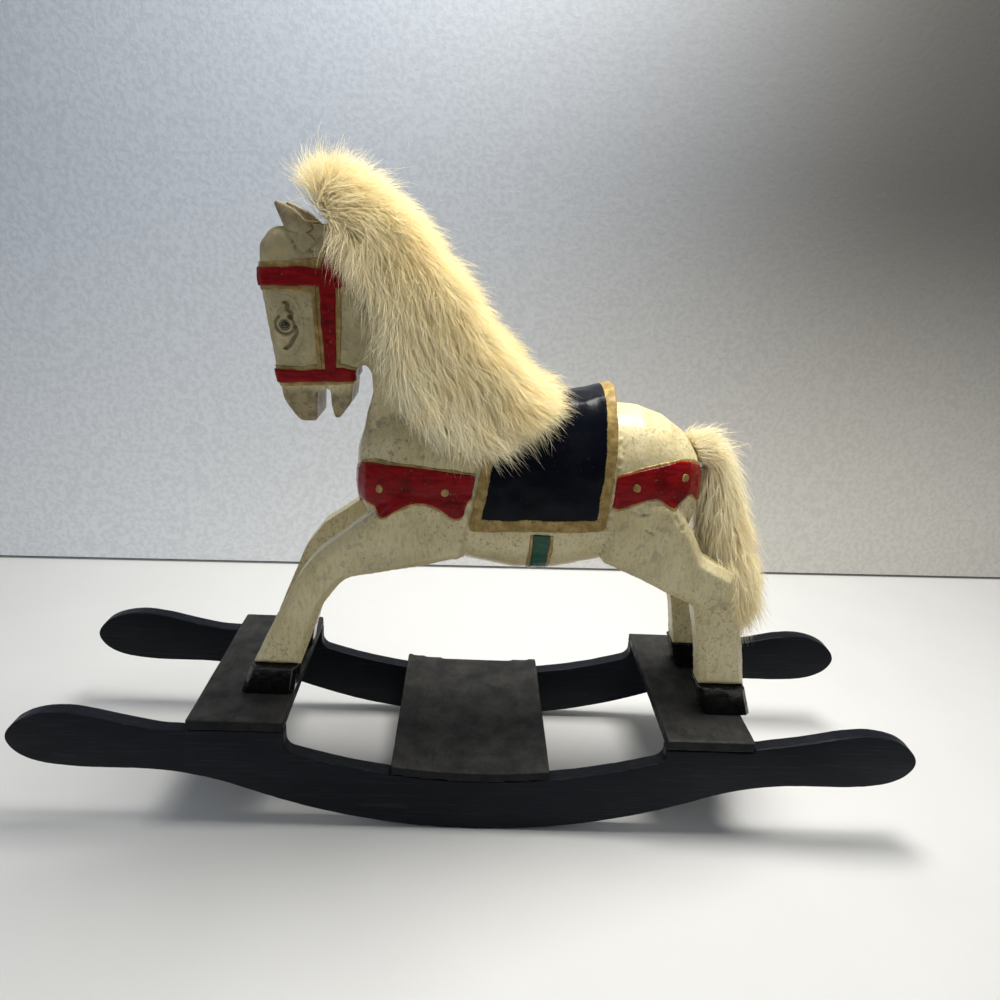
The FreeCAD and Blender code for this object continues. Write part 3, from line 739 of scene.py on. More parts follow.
# ---------------------------------------------------------------- base
def flat_outline(node, y):
    """The closed outline, in metres, of a CAD board's flat face at that Y."""
    mesh = NODES[node].data
    uses, place = {}, {}
    for face in mesh.polygons:
        corners = [mesh.vertices[i].co for i in face.vertices]
        if max(abs(c.y - y) for c in corners) > 1e-6:
            continue
        keys = [(round(c.x * 1e6), round(c.z * 1e6)) for c in corners]
        for key, corner in zip(keys, corners):
            place[key] = (corner.x, corner.z)
        for a, b in zip(keys, keys[1:] + keys[:1]):
            uses[(a, b)] = 1
    following = {a: b for a, b in uses if (b, a) not in uses}
    key = start = next(iter(following))
    outline = [place[key]]
    while following[key] != start:
        key = following[key]
        outline.append(place[key])
    return np.array(outline)


def divided(outline, longest):
    """The same closed outline with no step longer than longest."""
    out = []
    for a, b in zip(outline, np.roll(outline, -1, 0)):
        count = max(1, math.ceil(np.linalg.norm(b - a) / longest))
        out += [a + (b - a) * i / count for i in range(count)]
    return np.array(out)


def sawn_board(name, outline, y_from, y_to, rounding):
    """A board with softened, slightly uneven sawn edges; all in metres."""
    pts = divided(outline, 1.5 * MM)
    if twice_area(pts) < 0:
        pts = pts[::-1]
    inward = square_to(pts / MM)
    quarter = np.linspace(0, math.pi / 2, 4)
    arc = [(rounding * (1 - math.sin(a)), rounding * (1 - math.cos(a))) for a in quarter]
    rows = [(inset, y_from + rise) for inset, rise in arc]
    rows += [(0.0, y) for y in np.linspace(y_from + rounding, y_to - rounding, 6)[1:-1]]
    rows += [(inset, y_to - rise) for inset, rise in reversed(arc)]
    on_rim = (1, 2, len(rows) - 3, len(rows) - 2)
    verts, wear = [], []
    for number, (inset, y) in enumerate(rows):
        for (x, z), (nx, nz) in zip(pts, inward):
            uneven = 0.16 * MM * noise.fractal(Vector((x, y * 0.4, z)) * 110, 0.8, 2.0, 3)
            push = inset + uneven * (1 - 0.6 * inset / rounding)
            verts.append((x + nx * push, y, z + nz * push))
        wear += [-0.34 if number in on_rim else 0.0] * len(pts)
    count, last = len(pts), len(rows) - 1
    faces = [tuple(range(count)), tuple(range((last + 1) * count - 1, last * count - 1, -1))]
    for row in range(last):
        for i in range(count):
            a, b = row * count + i, row * count + (i + 1) % count
            faces.append((a, a + count, b + count, b))
    board = triangulated(new_object(name, verts, faces), 4)
    store(board, "hollow", wear)
    return board


def make_base():
    for node, inner in (("rocker_left", 1), ("rocker_right", 0)):
        low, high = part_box(node)
        outline = flat_outline(node, high.y if inner else low.y)
        piece = sawn_board(f"{node}_board", outline, low.y, high.y, 0.6 * MM)
        finished(piece, ROCKER, "rocker_paint", node)
    for node in ("front_slat", "middle_slat", "rear_slat"):
        piece = softened(f"{node}_board", node, BOARD_VOXEL, 5, 1.0)
        co, no = points_of(piece), normals_of(piece)
        depth = 0.10 * rough_field(co, 18, 3.0, 2) + 0.05 * rough_field(co, 5, 8.0, 2)
        set_points(piece, co + no * (depth * MM)[:, None])
        store(piece, "hollow", hollowness(piece, 8))
        store(piece, "up", ramp(normals_of(piece)[:, 2], 0.35, 0.75))
        finished(piece, SLAT, "slat_paint", node)


# ---------------------------------------------------------------- carved horse
THIGH_CREASE = ((84, 108.5), (89.1, 106.7), (93.5, 103.2), (97.5, 99.1), (99.6, 93.9), (101.6, 86.7))
NICKS = (((59.5, 143.4), (63.0, 141.4), (66.4, 142.6)), ((61.7, 145.0), (63.8, 142.2)),
         ((76.9, 141.4), (78.3, 138.9)), ((79.4, 137.4), (80.4, 136.3)), ((64.9, 135.8), (68.6, 134.2)))
EAR_POOLS = (((-76.6, 240.2), (-74.4, 238.4), (-73.4, 236.2)), ((-72.8, 235.2), (-70.4, 233.6)),
             ((-68.4, 235.0), (-66.6, 234.2)))


def carve_depth(co):
    """How far the carving stands off the plain CAD shape at each point, in mm."""
    x, y, z = (co / MM).T
    depth = 0.16 * rough_field(co, 9, 1.0, 3) + 0.35 * rough_field(co, 34, 5.0, 2)
    on_side = ramp(np.abs(y), 14.0, 20.0)
    lumps = np.clip(rough_field(co, 3.2, 11.0, 3) * 1.6 + 0.45, 0, 1.4)
    for joint, shift in ((FRONT_JOINT, -3.4), (REAR_JOINT, -0.4)):
        off = np.abs(x - joint_x(joint, z) - shift)
        ridge = np.exp(-(off / 1.3) ** 2) * on_side * ramp(z, 116, 120) * (1 - ramp(z, 168, 176))
        depth += ridge * (0.85 * lumps - 0.10)
    on_head = ramp(np.abs(y), 8.0, 10.0) * (x < -60)
    for path in EAR_POOLS:
        depth -= 0.85 * np.exp(-(distance_to(path, x, z) / 0.9) ** 2) * on_head
    depth -= 0.55 * np.exp(-(distance_to(THIGH_CREASE, x, z) / 1.5) ** 2) * on_side
    for path in NICKS:
        depth -= 0.8 * np.exp(-(distance_to(path, x, z) / 0.6) ** 2) * (y < -14)
    return depth


def carve_horse():
    wood = ["torso_core", "neck_and_head"]
    wood += [f"{end}_leg_{hand}" for end in ("front", "rear") for hand in ("left", "right")]
    horse = remeshed(copied("horse", *(NODES[n] for n in wood)), CARVE_VOXEL)
    x, y, z = (points_of(horse) / MM).T
    barrel = ramp(z, 112, 122) * (1 - ramp(z, 182, 190)) * ramp(x, -52, -47) * (1 - ramp(x, 88, 91))
    relaxed(horse, 26, 0.10 + 0.90 * barrel)
    shoulder = ramp(z, 126, 134) * (1 - ramp(z, 152, 158)) * ramp(np.abs(y), 14, 17)
    shoulder *= ramp(x, -48, -42) * (1 - ramp(x, 78, 84))
    relaxed(horse, 160, shoulder)
    co, no = points_of(horse), normals_of(horse)
    set_points(horse, co + no * (carve_depth(co) * MM)[:, None])
    relaxed(horse, 2, 0.7)
    return horse


def side_cutter(joint, side, far):
    """The space of one leg board: outside the middle board and beyond a glue line."""
    low, high = joint_x(joint, 60.0), joint_x(joint, 184.0)
    outline = [(low, 60.0), (high, 184.0)]
    if side < 0:
        outline += [(-51.9, 184.0), (-51.9, 168.0), (-120.0, 160.0), (-120.0, 60.0)]
    else:
        outline += [(150.0, 184.0), (150.0, 60.0)]
    y_from, y_to = (MIDDLE_BOARD_HALF, 60.0) if far else (-60.0, -MIDDLE_BOARD_HALF)
    return prism(outline, y_from, y_to)


def age_and_shade(co):
    """How much the cream paint is darkened and browned: by age and painted shade, most on the head, and by
    painted shade under the belly.
    """
    x, y, z = (co / MM).T
    wobble = 1.6 * rough_field(co, 6, 2.0, 3)
    # the head: aged paint and painted shade, darker all over
    head = (x < -44) * ramp(z, 186, 190) * (0.72 + 0.25 * wobble)
    brow = (x < -58) * ramp(z + wobble, 229, 236) * 0.35
    # painted shade under the belly
    under = (1 - ramp(z, 116, 124)) * ramp(x, -60, -40) * (1 - ramp(x, 60, 80)) * 0.4
    return np.clip(head + brow + under, 0, 1)


def mark_wood(piece, tree, hollow):
    """Stores the masks that the cream paint reads: hollows, age with painted shade, the tan muzzle and
    painted shade on the throat.
    """
    co = points_of(piece)
    x, y, z = (co / MM).T
    store(piece, "hollow", [hollow[tree.find(p)[1]] for p in co])
    wobble = 1.6 * rough_field(co, 6, 2.0, 3)
    muzzle = (1 - ramp(z + wobble, 181.5, 185.5)) * (1 - ramp(x, -53.5, -50.0)) * ramp(z, 160, 166)
    # painted shade: the strip of throat behind the jaw, where the neck is set back, is darkened with the
    # muzzle's tan
    throat = ramp(x, -53, -50) * (1 - ramp(x, -47.5, -45.0)) * ramp(z, 160, 168) * (1 - ramp(z, 186, 190))
    store(piece, "tan", np.clip(0.85 * muzzle + 0.55 * throat, 0, 1))
    store(piece, "aged_and_shaded", age_and_shade(co))


def taken_from(rest, node, cutter):
    """The part of the carving inside the cutter, as a piece of its own that the rest then lacks."""
    piece = boolean(copied(f"{node}_carved", rest), cutter, "INTERSECT")
    cut_by(rest, cutter)
    return piece


def split_horse(horse):
    hollow = hollowness(horse)
    tree = tree_of([vertex.co for vertex in horse.data.vertices])
    rest = copied("rest", horse)
    for y_from, y_to in ((-60.0, -9.6), (9.6, 60.0)):
        cut_by(rest, prism(eye_rim(0.8), y_from, y_to))
    pieces = []
    for end, joint, side in (("front", FRONT_JOINT, -1), ("rear", REAR_JOINT, 1)):
        for hand, far in (("left", False), ("right", True)):
            node = f"{end}_leg_{hand}"
            pieces.append((taken_from(rest, node, side_cutter(joint, side, far)), node))
    head = taken_from(rest, "neck_and_head", prism(NECK_JOINT))
    rest.name = "torso_core_carved"
    pieces += [(head, "neck_and_head"), (rest, "torso_core")]
    for piece, node in pieces:
        mark_wood(piece, tree, hollow)
        piece.data.shade_smooth()
        piece.data.set_sharp_from_angle(angle=math.radians(42))
        finished(piece, CREAM, "cream_paint", node)


# ---------------------------------------------------------------- skins on the horse
def proud_of(horse, lift, name):
    """The horse's surface moved out by lift in mm."""
    skin = copied(name, horse)
    set_points(skin, points_of(skin) + normals_of(skin) * lift * MM)
    return skin


def skin_piece(name, horse, outline, lift, voxel, y_range=(-60.0, 60.0)):
    """A layer that stands lift off the carved wood inside a side-view outline."""
    piece = cut_by(proud_of(horse, lift, name), prism(outline, *y_range), "INTERSECT")
    cut_by(piece, proud_of(horse, -0.35, "inner"))
    remeshed(piece, voxel)
    relaxed(piece, 2, 0.9)
    return piece


def wavy(outline, size, amount, seed):
    """A hand-painted edge: each point of a dense outline moved a little in and out."""
    pts = np.array(outline, float)
    out = square_to(pts)
    move = np.array([noise.noise(Vector((x / size, z / size, seed))) for x, z in pts])
    return pts + out * (move * amount)[:, None]


def shrunk(outline, amount):
    """The outline moved inwards by amount in mm."""
    pts = np.array(outline, float)
    return pts + square_to(pts) * math.copysign(amount, twice_area(pts))


def between(top, bottom, grow=0.0):
    """A closed outline from a top edge and a bottom edge, both listed in the same direction."""
    upper, lower = bent(top, 8, False), bent(bottom, 8, False)
    upper = upper + np.array([0, grow])
    lower = lower - np.array([0, grow])
    return np.vstack([upper, lower[::-1]])


BREAST_TOP = [(-60, 145), (-53, 150.4), (-50.3, 153.6), (-48.6, 156.4), (-44, 157.9), (-37.9, 157.9),
              (-23.9, 157), (-11.6, 156), (-4, 155.2)]
BREAST_BOTTOM = [(-60, 129), (-53, 134.2), (-50.4, 138), (-48.6, 141), (-44.4, 140.2), (-40.2, 136.6),
                 (-35, 139.6), (-29, 142.4), (-23, 142.9), (-17.4, 140.6), (-12.2, 137.5), (-8.6, 138.2),
                 (-7.4, 142.4), (-5.2, 146.8)]
BREECH_TOP = [(51.4, 157), (58.5, 159.4), (65.4, 161.5), (74.1, 163.2), (79.4, 163.2), (83.7, 162),
              (90, 158), (98, 153)]
BREECH_BOTTOM = [(50.8, 145.4), (53.4, 144.2), (59.1, 146.5), (64.5, 148.6), (68.8, 148.9), (73, 146.4),
                 (76.1, 145.4), (78.8, 147.4), (82.6, 150), (88, 146.2), (98, 141)]
SADDLE_FRONT = [(-6.0, 131.8), (-1.4, 164.0), (2.0, 200.0)]
SADDLE_HEM = [(-6.0, 131.8), (20.0, 132.2), (42.0, 133.2), (48.9, 134.4)]
SADDLE_BACK = [(48.9, 134.4), (50.6, 166.0), (49.2, 200.0)]


def make_body_straps(horse):
    for name, top, bottom, dots, seed in (
            ("breast_strap", BREAST_TOP, BREAST_BOTTOM, ((-41.6, 147.6), (-15.6, 148.0)), 3.0),
            ("breeching_strap", BREECH_TOP, BREECH_BOTTOM, ((59.6, 153.4), (79.4, 157.0)), 9.0)):
        inner = wavy(between(top, bottom), 9, 0.5, seed)
        outer = wavy(between(top, bottom, 1.15), 7, 0.5, seed + 1)
        red = skin_piece(f"{name}_painted", horse, inner, 0.62, TRIM_VOXEL)
        gold = skin_piece(f"{name}_gold_edge", horse, outer, 0.30, TRIM_VOXEL)
        finished(red, CRIMSON, "crimson_paint", name)
        finished(gold, GOLD, "crimson_paint")
        for i, (x, z) in enumerate(dots):
            turn = np.linspace(0, 2 * math.pi, 24, endpoint=False)
            ring = np.stack([x + 1.55 * np.cos(turn), z + 1.7 * np.sin(turn)], 1)
            dot = skin_piece(f"{name}_dots_{i + 1}", horse, wavy(ring, 2, 0.5, seed + i), 0.86, 0.3)
            finished(dot, GOLD, "crimson_paint")


def make_saddle():
    saddle = softened("saddle_carved", "saddle", TRIM_VOXEL + 0.08, 14, 0.8)
    co, no = points_of(saddle), normals_of(saddle)
    x, y, z = (co / MM).T
    dents = 0.40 * rough_field(co, 13, 21.0, 2)
    set_points(saddle, co + no * (dents * MM)[:, None])
    front, hem, back = (distance_to(path, x, z) for path in (SADDLE_FRONT, SADDLE_HEM, SADDLE_BACK))
    store(saddle, "edge", np.minimum(np.minimum(front, 0.74 * hem), back))
    finished(saddle, SADDLE, "saddle_paint", "saddle")


def make_girth(horse):
    low, high = 100.0, 130.8
    for name, x_from, x_to, lift, material in (("girth_strap_painted", 20.4, 27.4, 0.55, GREEN),
                                               ("girth_strap_gold_edge", 18.9, 28.9, 0.28, GOLD)):
        side = [(x_from, z) for z in np.linspace(low, high, 24)]
        side += [(x_to, z) for z in np.linspace(high, low, 24)]
        piece = skin_piece(name, horse, wavy(side, 6, 0.4, x_from), lift, TRIM_VOXEL)
        finished(piece, material, "green_paint", *(["girth_strap"] if material is GREEN else []))


BROW = ([(-95, 227.6), (-87, 227.9), (-78, 228.4), (-67, 228.8), (-57, 227.0), (-48.5, 226.4)],
        [(-95, 221.0), (-87, 221.2), (-78, 221.8), (-67, 222.4), (-57, 222.5), (-48.5, 222.5)])
BROW_GOLD = ([(-95, 229.4), (-87, 229.7), (-78, 230.6), (-67, 232.2), (-59, 230.2), (-48.5, 228.4)],
             [(-95, 219.6), (-87, 219.7), (-78, 220.0), (-67, 220.0), (-57, 220.6), (-48.5, 221.0)])
NOSE = ([(-95, 190.6), (-82, 190.6), (-70, 190.8), (-62, 191.6), (-56, 192.2), (-50, 190.6)],
        [(-95, 185.2), (-82, 185.4), (-70, 186.2), (-62, 186.8), (-54, 187.0), (-50, 187.0)])
NOSE_GOLD = ([(-95, 192.0), (-82, 192.0), (-72, 192.2), (-66, 193.4), (-56, 193.6), (-50, 192.0)],
             [(-95, 184.0), (-82, 184.0), (-70, 184.7), (-62, 185.4), (-54, 186.0), (-50, 186.0)])
CHEEK = ([(-64.8, 226), (-64.6, 212), (-63.8, 200), (-63.4, 188)],
         [(-59.0, 226), (-59.0, 212), (-59.1, 200), (-59.4, 188)])
CHEEK_GOLD = ([(-68.2, 226), (-67.8, 212), (-66.9, 200), (-66.4, 188)],
              [(-56.9, 226), (-56.9, 212), (-57.4, 200), (-57.8, 188)])
CROWN = ([(-64.4, 222), (-63.6, 232), (-60.6, 240), (-60.0, 262)],
         [(-57.0, 222), (-56.4, 232), (-53.6, 240), (-52.6, 262)])
CROWN_GOLD = ([(-65.2, 222), (-64.4, 232), (-61.5, 240), (-60.9, 262)],
              [(-56.2, 222), (-55.6, 232), (-52.8, 240), (-51.8, 262)])


def make_bridle(horse):
    """Each strap is red paint on a wider gold one; the cheek straps are a pair and the others go round."""
    whole, sides = {"": (-60.0, 60.0)}, {"_left": (-60.0, -5.0), "_right": (5.0, 60.0)}
    for strap, red, gold, parts in (("bridle_browband", BROW, BROW_GOLD, whole),
                                    ("bridle_noseband", NOSE, NOSE_GOLD, whole),
                                    ("bridle_cheek_straps", CHEEK, CHEEK_GOLD, sides),
                                    ("bridle_crown_strap", CROWN, CROWN_GOLD, whole)):
        for layer, (one, two), lift, material in (("painted", red, 1.15, CRIMSON),
                                                  ("gold_edge", gold, 0.45, GOLD)):
            outline = wavy(np.vstack([bent(one, 8, False), bent(two, 8, False)[::-1]]), 5, 0.45, len(strap))
            for hand, y_range in parts.items():
                piece = skin_piece(f"{strap}_{layer}{hand}", horse, outline, lift, TRIM_VOXEL, y_range)
                node = strap if parts is whole else f"bridle_cheek{hand}"
                finished(piece, material, "crimson_paint", *([node] if material is CRIMSON else []))
    line = bent([(-66.4, 231.6), (-66.5, 222), (-66.3, 212), (-65.5, 200), (-65.1, 192)], 8, False)
    ridge = np.vstack([line - np.array([0.38, 0]), (line + np.array([0.38, 0]))[::-1]])
    ridge = wavy(ridge, 1.6, 0.25, 5.0)
    for hand, y_range in sides.items():
        piece = skin_piece(f"bridle_paint_ridge{hand}", horse, ridge, 1.0, 0.3, y_range)
        finished(piece, GOLD, "crimson_paint")


# ---------------------------------------------------------------- ears, eyes, hooves
EYE_CUTS = (([(2.3, 3.0), (2.6, 4.6), (1.2, 5.8), (1.4, 7.2), (0.2, 8.4)], 0.85, 1.2),
            ([(4.0, -0.6), (4.3, -2.4), (3.0, -5.0), (1.6, -7.4), (-0.4, -9.2)], 0.80, 1.2),
            ([(-2.2, 3.0), (-3.5, 0.8), (-2.9, -1.6), (-0.9, -3.2), (1.8, -3.0), (3.3, -1.2), (3.3, 1.2),
              (1.6, 3.2)], 0.65, 1.0))


def eye_rim(scale):
    return [(EYE[0] + 0.6 + 6.4 * scale * math.cos(a), EYE[1] - 0.4 + 11.5 * scale * math.sin(a))
            for a in np.linspace(0, 2 * math.pi, 48, endpoint=False)]


def make_eye_sockets(horse):
    """The knife cuts round each eye, on finely meshed plugs that fill pockets in the head."""
    for hand, y_from, y_to in (("left", -60.0, -9.0), ("right", 9.0, 60.0)):
        cutter = prism(eye_rim(1.0), y_from, y_to)
        piece = cut_by(proud_of(horse, 0.35, f"eye_socket_{hand}"), cutter, "INTERSECT")
        remeshed(piece, 0.24)
        relaxed(piece, 2, 0.9)
        co, no = points_of(piece), normals_of(piece)
        x, y, z = (co / MM).T
        facing = ramp(no[:, 1] * np.sign(y), 0.5, 0.8)
        carved = np.zeros(len(co))
        for path, width, deep in EYE_CUTS:
            off = distance_to(bent([(EYE[0] + a, EYE[1] + b) for a, b in path], 6, False), x, z)
            lip = 0.25 * np.exp(-((off - 1.5 * width) / (0.6 * width)) ** 2)
            carved += deep * np.exp(-(off / width) ** 2) - lip
        hole = np.exp(-(np.hypot(x - EYE[0], z - EYE[1]) / 2.1) ** 4)
        sink = 0.65 * ramp(np.hypot((x - EYE[0] - 0.6) / 6.4, (z - EYE[1] + 0.4) / 11.5), 0.60, 1.0)
        set_points(piece, co - no * ((carved + 0.9 * hole + sink) * facing * MM)[:, None])
        # painted shade: the knife cuts and the pocket round the eye pin are made deeper in the hollow mask,
        # so the cream paint darkens them as shade
        store(piece, "hollow", 1.1 * np.clip(carved, 0, 1) + 1.2 * hole)
        store(piece, "tan", np.zeros(len(co)))
        store(piece, "aged_and_shaded", age_and_shade(co))
        finished(piece, CREAM, "cream_paint")


def paint_node(node, material):
    """Shows a CAD solid as it is, in that material."""
    NODES[node].data.materials.clear()
    NODES[node].data.materials.append(material)


def make_small_parts():
    for hand in ("left", "right"):
        ear = softened(f"ear_{hand}_carved", f"ear_{hand}", 0.3, 6, 0.8)
        co = points_of(ear)
        z = co[:, 2] / MM
        co[:, 1] += np.sign(co[:, 1]) * 0.7 * MM * (1 - ramp(z, 238, 243))
        set_points(ear, co)
        store(ear, "hollow", hollowness(ear, 6))
        store(ear, "tan", 0.35 + 0.65 * ramp(z, 240, 250))
        # the whole ear darkened like the head, by age and painted shade
        store(ear, "aged_and_shaded", np.full(len(z), 0.8))
        finished(ear, CREAM, "cream_paint", f"ear_{hand}")
        paint_node(f"eye_{hand}", EYE_BLACK)
        NODES[f"eye_{hand}"].data.shade_smooth()
        for end in ("front", "rear"):
            node = f"hoof_{end}_{hand}"
            hoof = softened(f"{node}_carved", node, TRIM_VOXEL, 5, 0.9)
            co, no = points_of(hoof), normals_of(hoof)
            set_points(hoof, co + no * (0.10 * rough_field(co, 6, 6.0, 2) * MM)[:, None])
            store(hoof, "hollow", hollowness(hoof, 6))
            finished(hoof, HOOF, "hoof_paint", node)
    for node, material in (("slat_brads", STEEL), ("hoof_screws", STEEL), ("neck_dowels", WOOD),
                           ("leg_dowels", WOOD), ("tail_peg", WOOD)):
        paint_node(node, material)


# ---------------------------------------------------------------- fur
def hair_mesh(name, line, radii, shades, warms):
    """Hairs as thin tapered three-sided prisms along lines of points: count by steps + 1 by 3."""
    count, steps = len(line), line.shape[1] - 1
    heading = unit(np.concatenate([line[:, 1:] - line[:, :-1], line[:, -1:] - line[:, -2:-1]], 1))
    side = unit(np.cross(heading, np.array([0.31, 0.87, 0.38])))
    other = np.cross(heading, side)
    rings = []
    for i in range(steps):
        thick = radii * (1.0, 0.95, 0.80, 0.60, 0.40)[i]
        for angle in (0.0, 2 * math.pi / 3, 4 * math.pi / 3):
            out = side[:, i] * math.cos(angle) + other[:, i] * math.sin(angle)
            rings.append(line[:, i] + out * thick[:, None])
    rings.append(line[:, steps])
    per = 3 * steps + 1
    verts = np.stack(rings, 1)
    tris = [(0, 2, 1)]
    for i in range(steps - 1):
        for k in range(3):
            a, b = 3 * i + k, 3 * i + (k + 1) % 3
            tris += [(a, b, b + 3), (a, b + 3, a + 3)]
    for k in range(3):
        tris.append((3 * (steps - 1) + k, 3 * (steps - 1) + (k + 1) % 3, per - 1))
    tris = np.array(tris)[None] + (np.arange(count) * per)[:, None, None]
    obj = big_mesh(name, verts.reshape(-1, 3), tris.reshape(-1, 3))
    along = np.concatenate([np.repeat(np.arange(steps) / steps, 3), [1.0]])
    store(obj, "along", np.tile(along, count))
    store(obj, "shade", np.repeat(shades, per))
    store(obj, "warm", np.repeat(warms, per))
    return obj


def sample_surface(obj, count, rng):
    """Random places on a mesh: points and normals."""
    mesh = obj.data
    mesh.calc_loop_triangles()
    tris = np.empty(len(mesh.loop_triangles) * 3, np.int32)
    mesh.loop_triangles.foreach_get("vertices", tris)
    tris = tris.reshape(-1, 3)
    co, no = points_of(obj), normals_of(obj)
    a, b, c = co[tris[:, 0]], co[tris[:, 1]], co[tris[:, 2]]
    area = np.linalg.norm(np.cross(b - a, c - a), axis=1)
    pick = rng.choice(len(tris), count, p=area / area.sum())
    u, v = rng.random(count), rng.random(count)
    flip = u + v > 1
    u[flip], v[flip] = 1 - u[flip], 1 - v[flip]
    w = 1 - u - v
    w, u, v = w[:, None], u[:, None], v[:, None]
    first, second, third = no[tris[pick]].transpose(1, 0, 2)
    return a[pick] * w + b[pick] * u + c[pick] * v, unit(first * w + second * u + third * v)


def turned(flow, angle):
    """Turns the flow in the side view by an angle for each hair."""
    c, s = np.cos(angle), np.sin(angle)
    return np.stack([flow[:, 0] * c - flow[:, 2] * s, flow[:, 1], flow[:, 0] * s + flow[:, 2] * c], 1)


def lift_out(points, surface, gap):
    """Moves points that are under or close to the surface out to a gap above it."""
    for i, p in enumerate(points):
        hit, normal, _, _ = surface.find_nearest(Vector(p), 0.012)
        if hit is None:
            continue
        above = (Vector(p) - hit).dot(normal)
        if above < gap[i]:
            points[i] = hit + normal * gap[i]
    return points


def outside_by(outline, x, z):
    """How far in mm each side-view point lies outside a closed outline; 0 inside."""
    loop = list(outline) + [outline[0]]
    inside = np.zeros(len(x), bool)
    for (ax, az), (bx, bz) in zip(loop[:-1], loop[1:]):
        crossing = ((az > z) != (bz > z)) & (x < (bx - ax) * (z - az) / (bz - az + 1e-12) + ax)
        inside ^= crossing
    return np.where(inside, 0.0, distance_to(loop, x, z))


def trimmed(line, limit, slack):
    """Shortens each hair so that it ends at most its slack in mm outside the limit outline."""
    steps = line.shape[1] - 1
    allowed = np.full(len(line), float(steps))
    for step in range(steps, 0, -1):
        over = outside_by(limit, line[:, step, 0] / MM, line[:, step, 2] / MM) > slack
        allowed = np.where(over, step - 0.5, allowed)
    allowed = np.maximum(allowed, 0.22 * steps)
    short = np.empty_like(line)
    for step in range(steps + 1):
        at = step * allowed / steps
        low = np.minimum(at.astype(int), steps - 1)
        part = (at - low)[:, None]
        rows = np.arange(len(line))
        short[:, step] = line[rows, low] * (1 - part) + line[rows, low + 1] * part
    return short


def grow_hair(roots, normals, flow, lengths, lift, locks, pull, rng, surface, limit, steps=5):
    """Grows each hair step by step along the flow, standing up at the root and gathered into locks."""
    centres = roots[rng.choice(len(roots), locks, replace=False)]
    tree = tree_of(centres)
    lock = np.array([tree.find(p)[1] for p in roots])
    sway = rng.normal(0, 1, (locks, 3))[lock] * pull
    stray = rng.normal(0, 1, roots.shape) * 0.24
    wander = (rng.random(len(roots)) < 0.14)[:, None] * rng.normal(0, 0.5, roots.shape)
    line, heading = [roots], normals
    for step in range(steps):
        t = step / steps
        here = line[-1]
        gather = (centres[lock] - roots) / (6 * MM) * 0.05 * (step > 0)
        rise = normals * lift[:, None] * (1 - t) ** 1.5
        aim = flow(here) + rise + sway * (0.4 + t) + stray + wander * t + gather
        heading = unit(heading * 0.35 + unit(aim) * 0.65)
        line.append(here + heading * (lengths / steps)[:, None])
    line = np.stack(line, 1)
    gap = rng.uniform(0.3, 2.2, len(roots)) * MM
    for step in range(1, steps + 1):
        line[:, step] = lift_out(line[:, step].copy(), surface, gap)
    slack = np.minimum(rng.exponential(2.4, len(roots)), 11.0)
    return trimmed(line, limit, slack), rng.random(locks)[lock]


MANE_CREST = [(-66, 262), (-58, 263), (-45, 256), (-30, 244), (-15, 226), (0, 208), (14, 193), (28, 181)]
MANE_LIMIT = [(-77, 251), (-74, 259), (-66, 266), (-57, 268), (-44, 261.5), (-33, 252.6), (-26.8, 246.4),
              (-20.4, 238.8), (-14.4, 231.4), (-7, 224.2), (-0.8, 215.9), (4.4, 209.4), (9.9, 202.6),
              (15.3, 195.4), (21.6, 189.2), (27, 184), (22, 179), (14, 172.5), (6, 165), (0, 163.5),
              (-15, 166.5), (-28, 175.5), (-37.5, 187), (-42.5, 200), (-44.5, 214), (-49, 221),
              (-56, 229), (-64, 236), (-69, 242)]
TAIL_PATH = [(80, 161), (86, 164.2), (91.5, 165.2), (97.5, 162.4), (102, 153.5), (105.6, 139), (109.2, 121),
             (112.6, 104), (116, 84)]
TAIL_LIMIT = [(80, 160), (80, 167), (85, 170.5), (90, 172.5), (96, 171), (101, 164), (105.5, 154),
              (111, 141), (116.3, 126), (120, 114), (123.5, 102), (124, 92), (117, 86), (110, 88),
              (104, 100), (99, 111), (94.7, 122), (91.5, 140), (89.5, 152), (86, 158)]
# x, z and the combed direction in degrees above +X
MANE_COMBED = ((-70, 256, 125), (-64, 262, 90), (-57, 262, 35), (-64, 250, 40), (-57, 252, 5),
               (-52, 246, -30), (-56, 239, -112), (-49, 233, -100), (-44, 222, -85), (-42, 205, -92),
               (-38, 190, -80), (-44, 255, -25), (-34, 248, -42), (-36, 232, -68), (-30, 205, -74),
               (-28, 185, -66), (-20, 240, -52), (-14, 215, -60), (-12, 190, -62), (-14, 172, -58),
               (0, 208, -54), (4, 185, -52), (2, 168, -52), (14, 192, -48), (14, 172, -44), (26, 184, -32))


def mane_flow(points):
    """Which way the mane lies: blended from the combed directions, falling to both sides of the crest."""
    x, y, z = (points / MM).T
    total = np.zeros((len(x), 2))
    for px, pz, degrees in MANE_COMBED:
        angle = math.radians(degrees)
        share = 1 / (np.hypot(x - px, z - pz) + 1.5) ** 3
        total += share[:, None] * np.array([math.cos(angle), math.sin(angle)])
    total /= np.linalg.norm(total, axis=1)[:, None]
    off = distance_to(MANE_CREST, x, z)
    spread = np.tanh(y / 4) * (0.40 * np.exp(-(off / 12) ** 2) - 0.08)
    flow = unit(np.stack([total[:, 0], spread, total[:, 1]], 1))
    return turned(flow, 0.50 * rough_field(points, 16, 31.0, 2) + 0.28 * rough_field(points, 6, 37.0, 2))


def tail_flow(points):
    x, y, z = (points / MM).T
    heading = nearest_on(TAIL_PATH, x, z)[1]
    flow = np.stack([heading[:, 0], 0.02 * y, heading[:, 1]], 1)
    return turned(unit(flow), 0.20 * rough_field(points, 14, 17.0, 2))


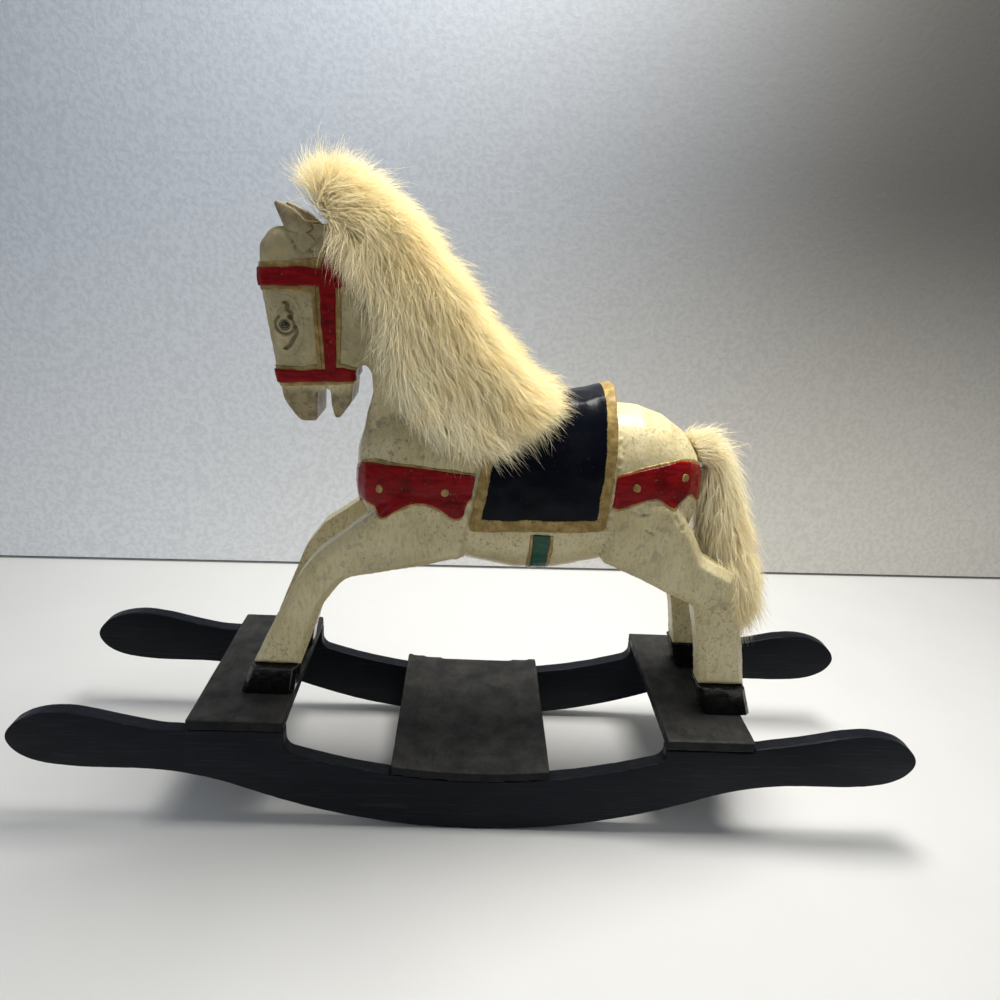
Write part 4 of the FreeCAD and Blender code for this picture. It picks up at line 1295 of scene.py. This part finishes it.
def pelt(name, node, voxel, share, most, surface, seed, limit):
    """The skin under the hair: the CAD solid drawn in where it stands off the wood, and rumpled."""
    core = cut_by(copied(name, NODES[node]), prism(limit), "INTERSECT")
    remeshed(core, voxel)
    relaxed(core, 30, 1.0)
    co, no = points_of(core), normals_of(core)
    off = np.array([surface.find_nearest(Vector(p))[3] for p in co]) / MM
    inset = np.clip(share * off, 0, most)
    rumple = 0.16 * inset * rough_field(co, 9, seed, 3)
    set_points(core, co - no * ((inset - rumple) * MM)[:, None])
    store(core, "along", np.full(len(co), 0.3))
    store(core, "shade", np.full(len(co), 0.35))
    store(core, "warm", np.full(len(co), 0.5))
    return core


def mane_hairs(x, z, rng):
    """Length in metres, how far it stands up and how warm its colour is, for each hair of the mane."""
    top = ramp(z, 228, 258)
    off = distance_to(MANE_CREST, x, z)
    lengths = (rng.uniform(15, 25, len(x)) - 3.0 * top) * MM
    return lengths, 0.45 + 0.25 * top, 0.10 + 0.85 * np.exp(-(off / 22) ** 2)


def tail_hairs(x, z, rng):
    """The same for the tail, whose hair is short at its root."""
    root_end = 1 - ramp(x, 84, 92)
    lengths = rng.uniform(13, 24, len(x)) * (1 - 0.55 * root_end) * MM
    return lengths, 0.45, 0.45 + 0.45 * ramp(x, 98, 118)


def cover_with_hair(core, node, pieces, each, hairs, flow, locks, pull, rng, surface, limit):
    """Grows pieces of each hairs on the pelt; hairs and flow say how one of them is and lies."""
    for number in range(pieces):
        roots, normals = sample_surface(core, each, rng)
        lengths, stand, warmth = hairs(roots[:, 0] / MM, roots[:, 2] / MM, rng)
        lift = stand + 0.5 * rng.random(each) ** 3
        line, tone = grow_hair(roots, normals, flow, lengths, lift, locks, pull, rng, surface, limit)
        warm = np.clip(warmth + 0.15 * rng.normal(0, 1, each), 0, 1)
        shade = np.clip(0.5 * tone + 0.5 * rng.random(each), 0, 1)
        radius = rng.uniform(0.75, 1.25, each) * HAIR_RADIUS * MM
        finished(hair_mesh(f"{node}_hair_{number + 1}", line, radius, shade, warm), FUR, "fur")
    finished(core, FUR, "fur", node)


def make_mane(surface):
    core = pelt("mane_pelt", "mane", 1.6, 0.52, 8.0, surface, 4.0, shrunk(MANE_LIMIT, 3.0))
    rng = np.random.default_rng(7)
    cover_with_hair(core, "mane", 8, MANE_HAIRS, mane_hairs, mane_flow, 900, 0.09, rng, surface, MANE_LIMIT)


def make_tail(surface):
    core = pelt("tail_pelt", "tail", 1.2, 0.42, 4.5, surface, 6.0, shrunk(TAIL_LIMIT, 1.5))
    rng = np.random.default_rng(23)
    cover_with_hair(core, "tail", 3, TAIL_HAIRS, tail_hairs, tail_flow, 400, 0.05, rng, surface, TAIL_LIMIT)


def under_fur(horse):
    """The horse and its saddle as one surface that the hair lies on."""
    joined = copied("under_fur", horse, bpy.data.objects["saddle_carved"])
    surface = BVHTree.FromObject(joined, bpy.context.evaluated_depsgraph_get())
    removed(joined)
    return surface


make_base()
horse = carve_horse()
make_saddle()
make_body_straps(horse)
make_girth(horse)
make_bridle(horse)
make_eye_sockets(horse)
make_small_parts()
split_horse(horse)
surface = under_fur(horse)
removed(horse)
make_mane(surface)
make_tail(surface)
light_the_fur()
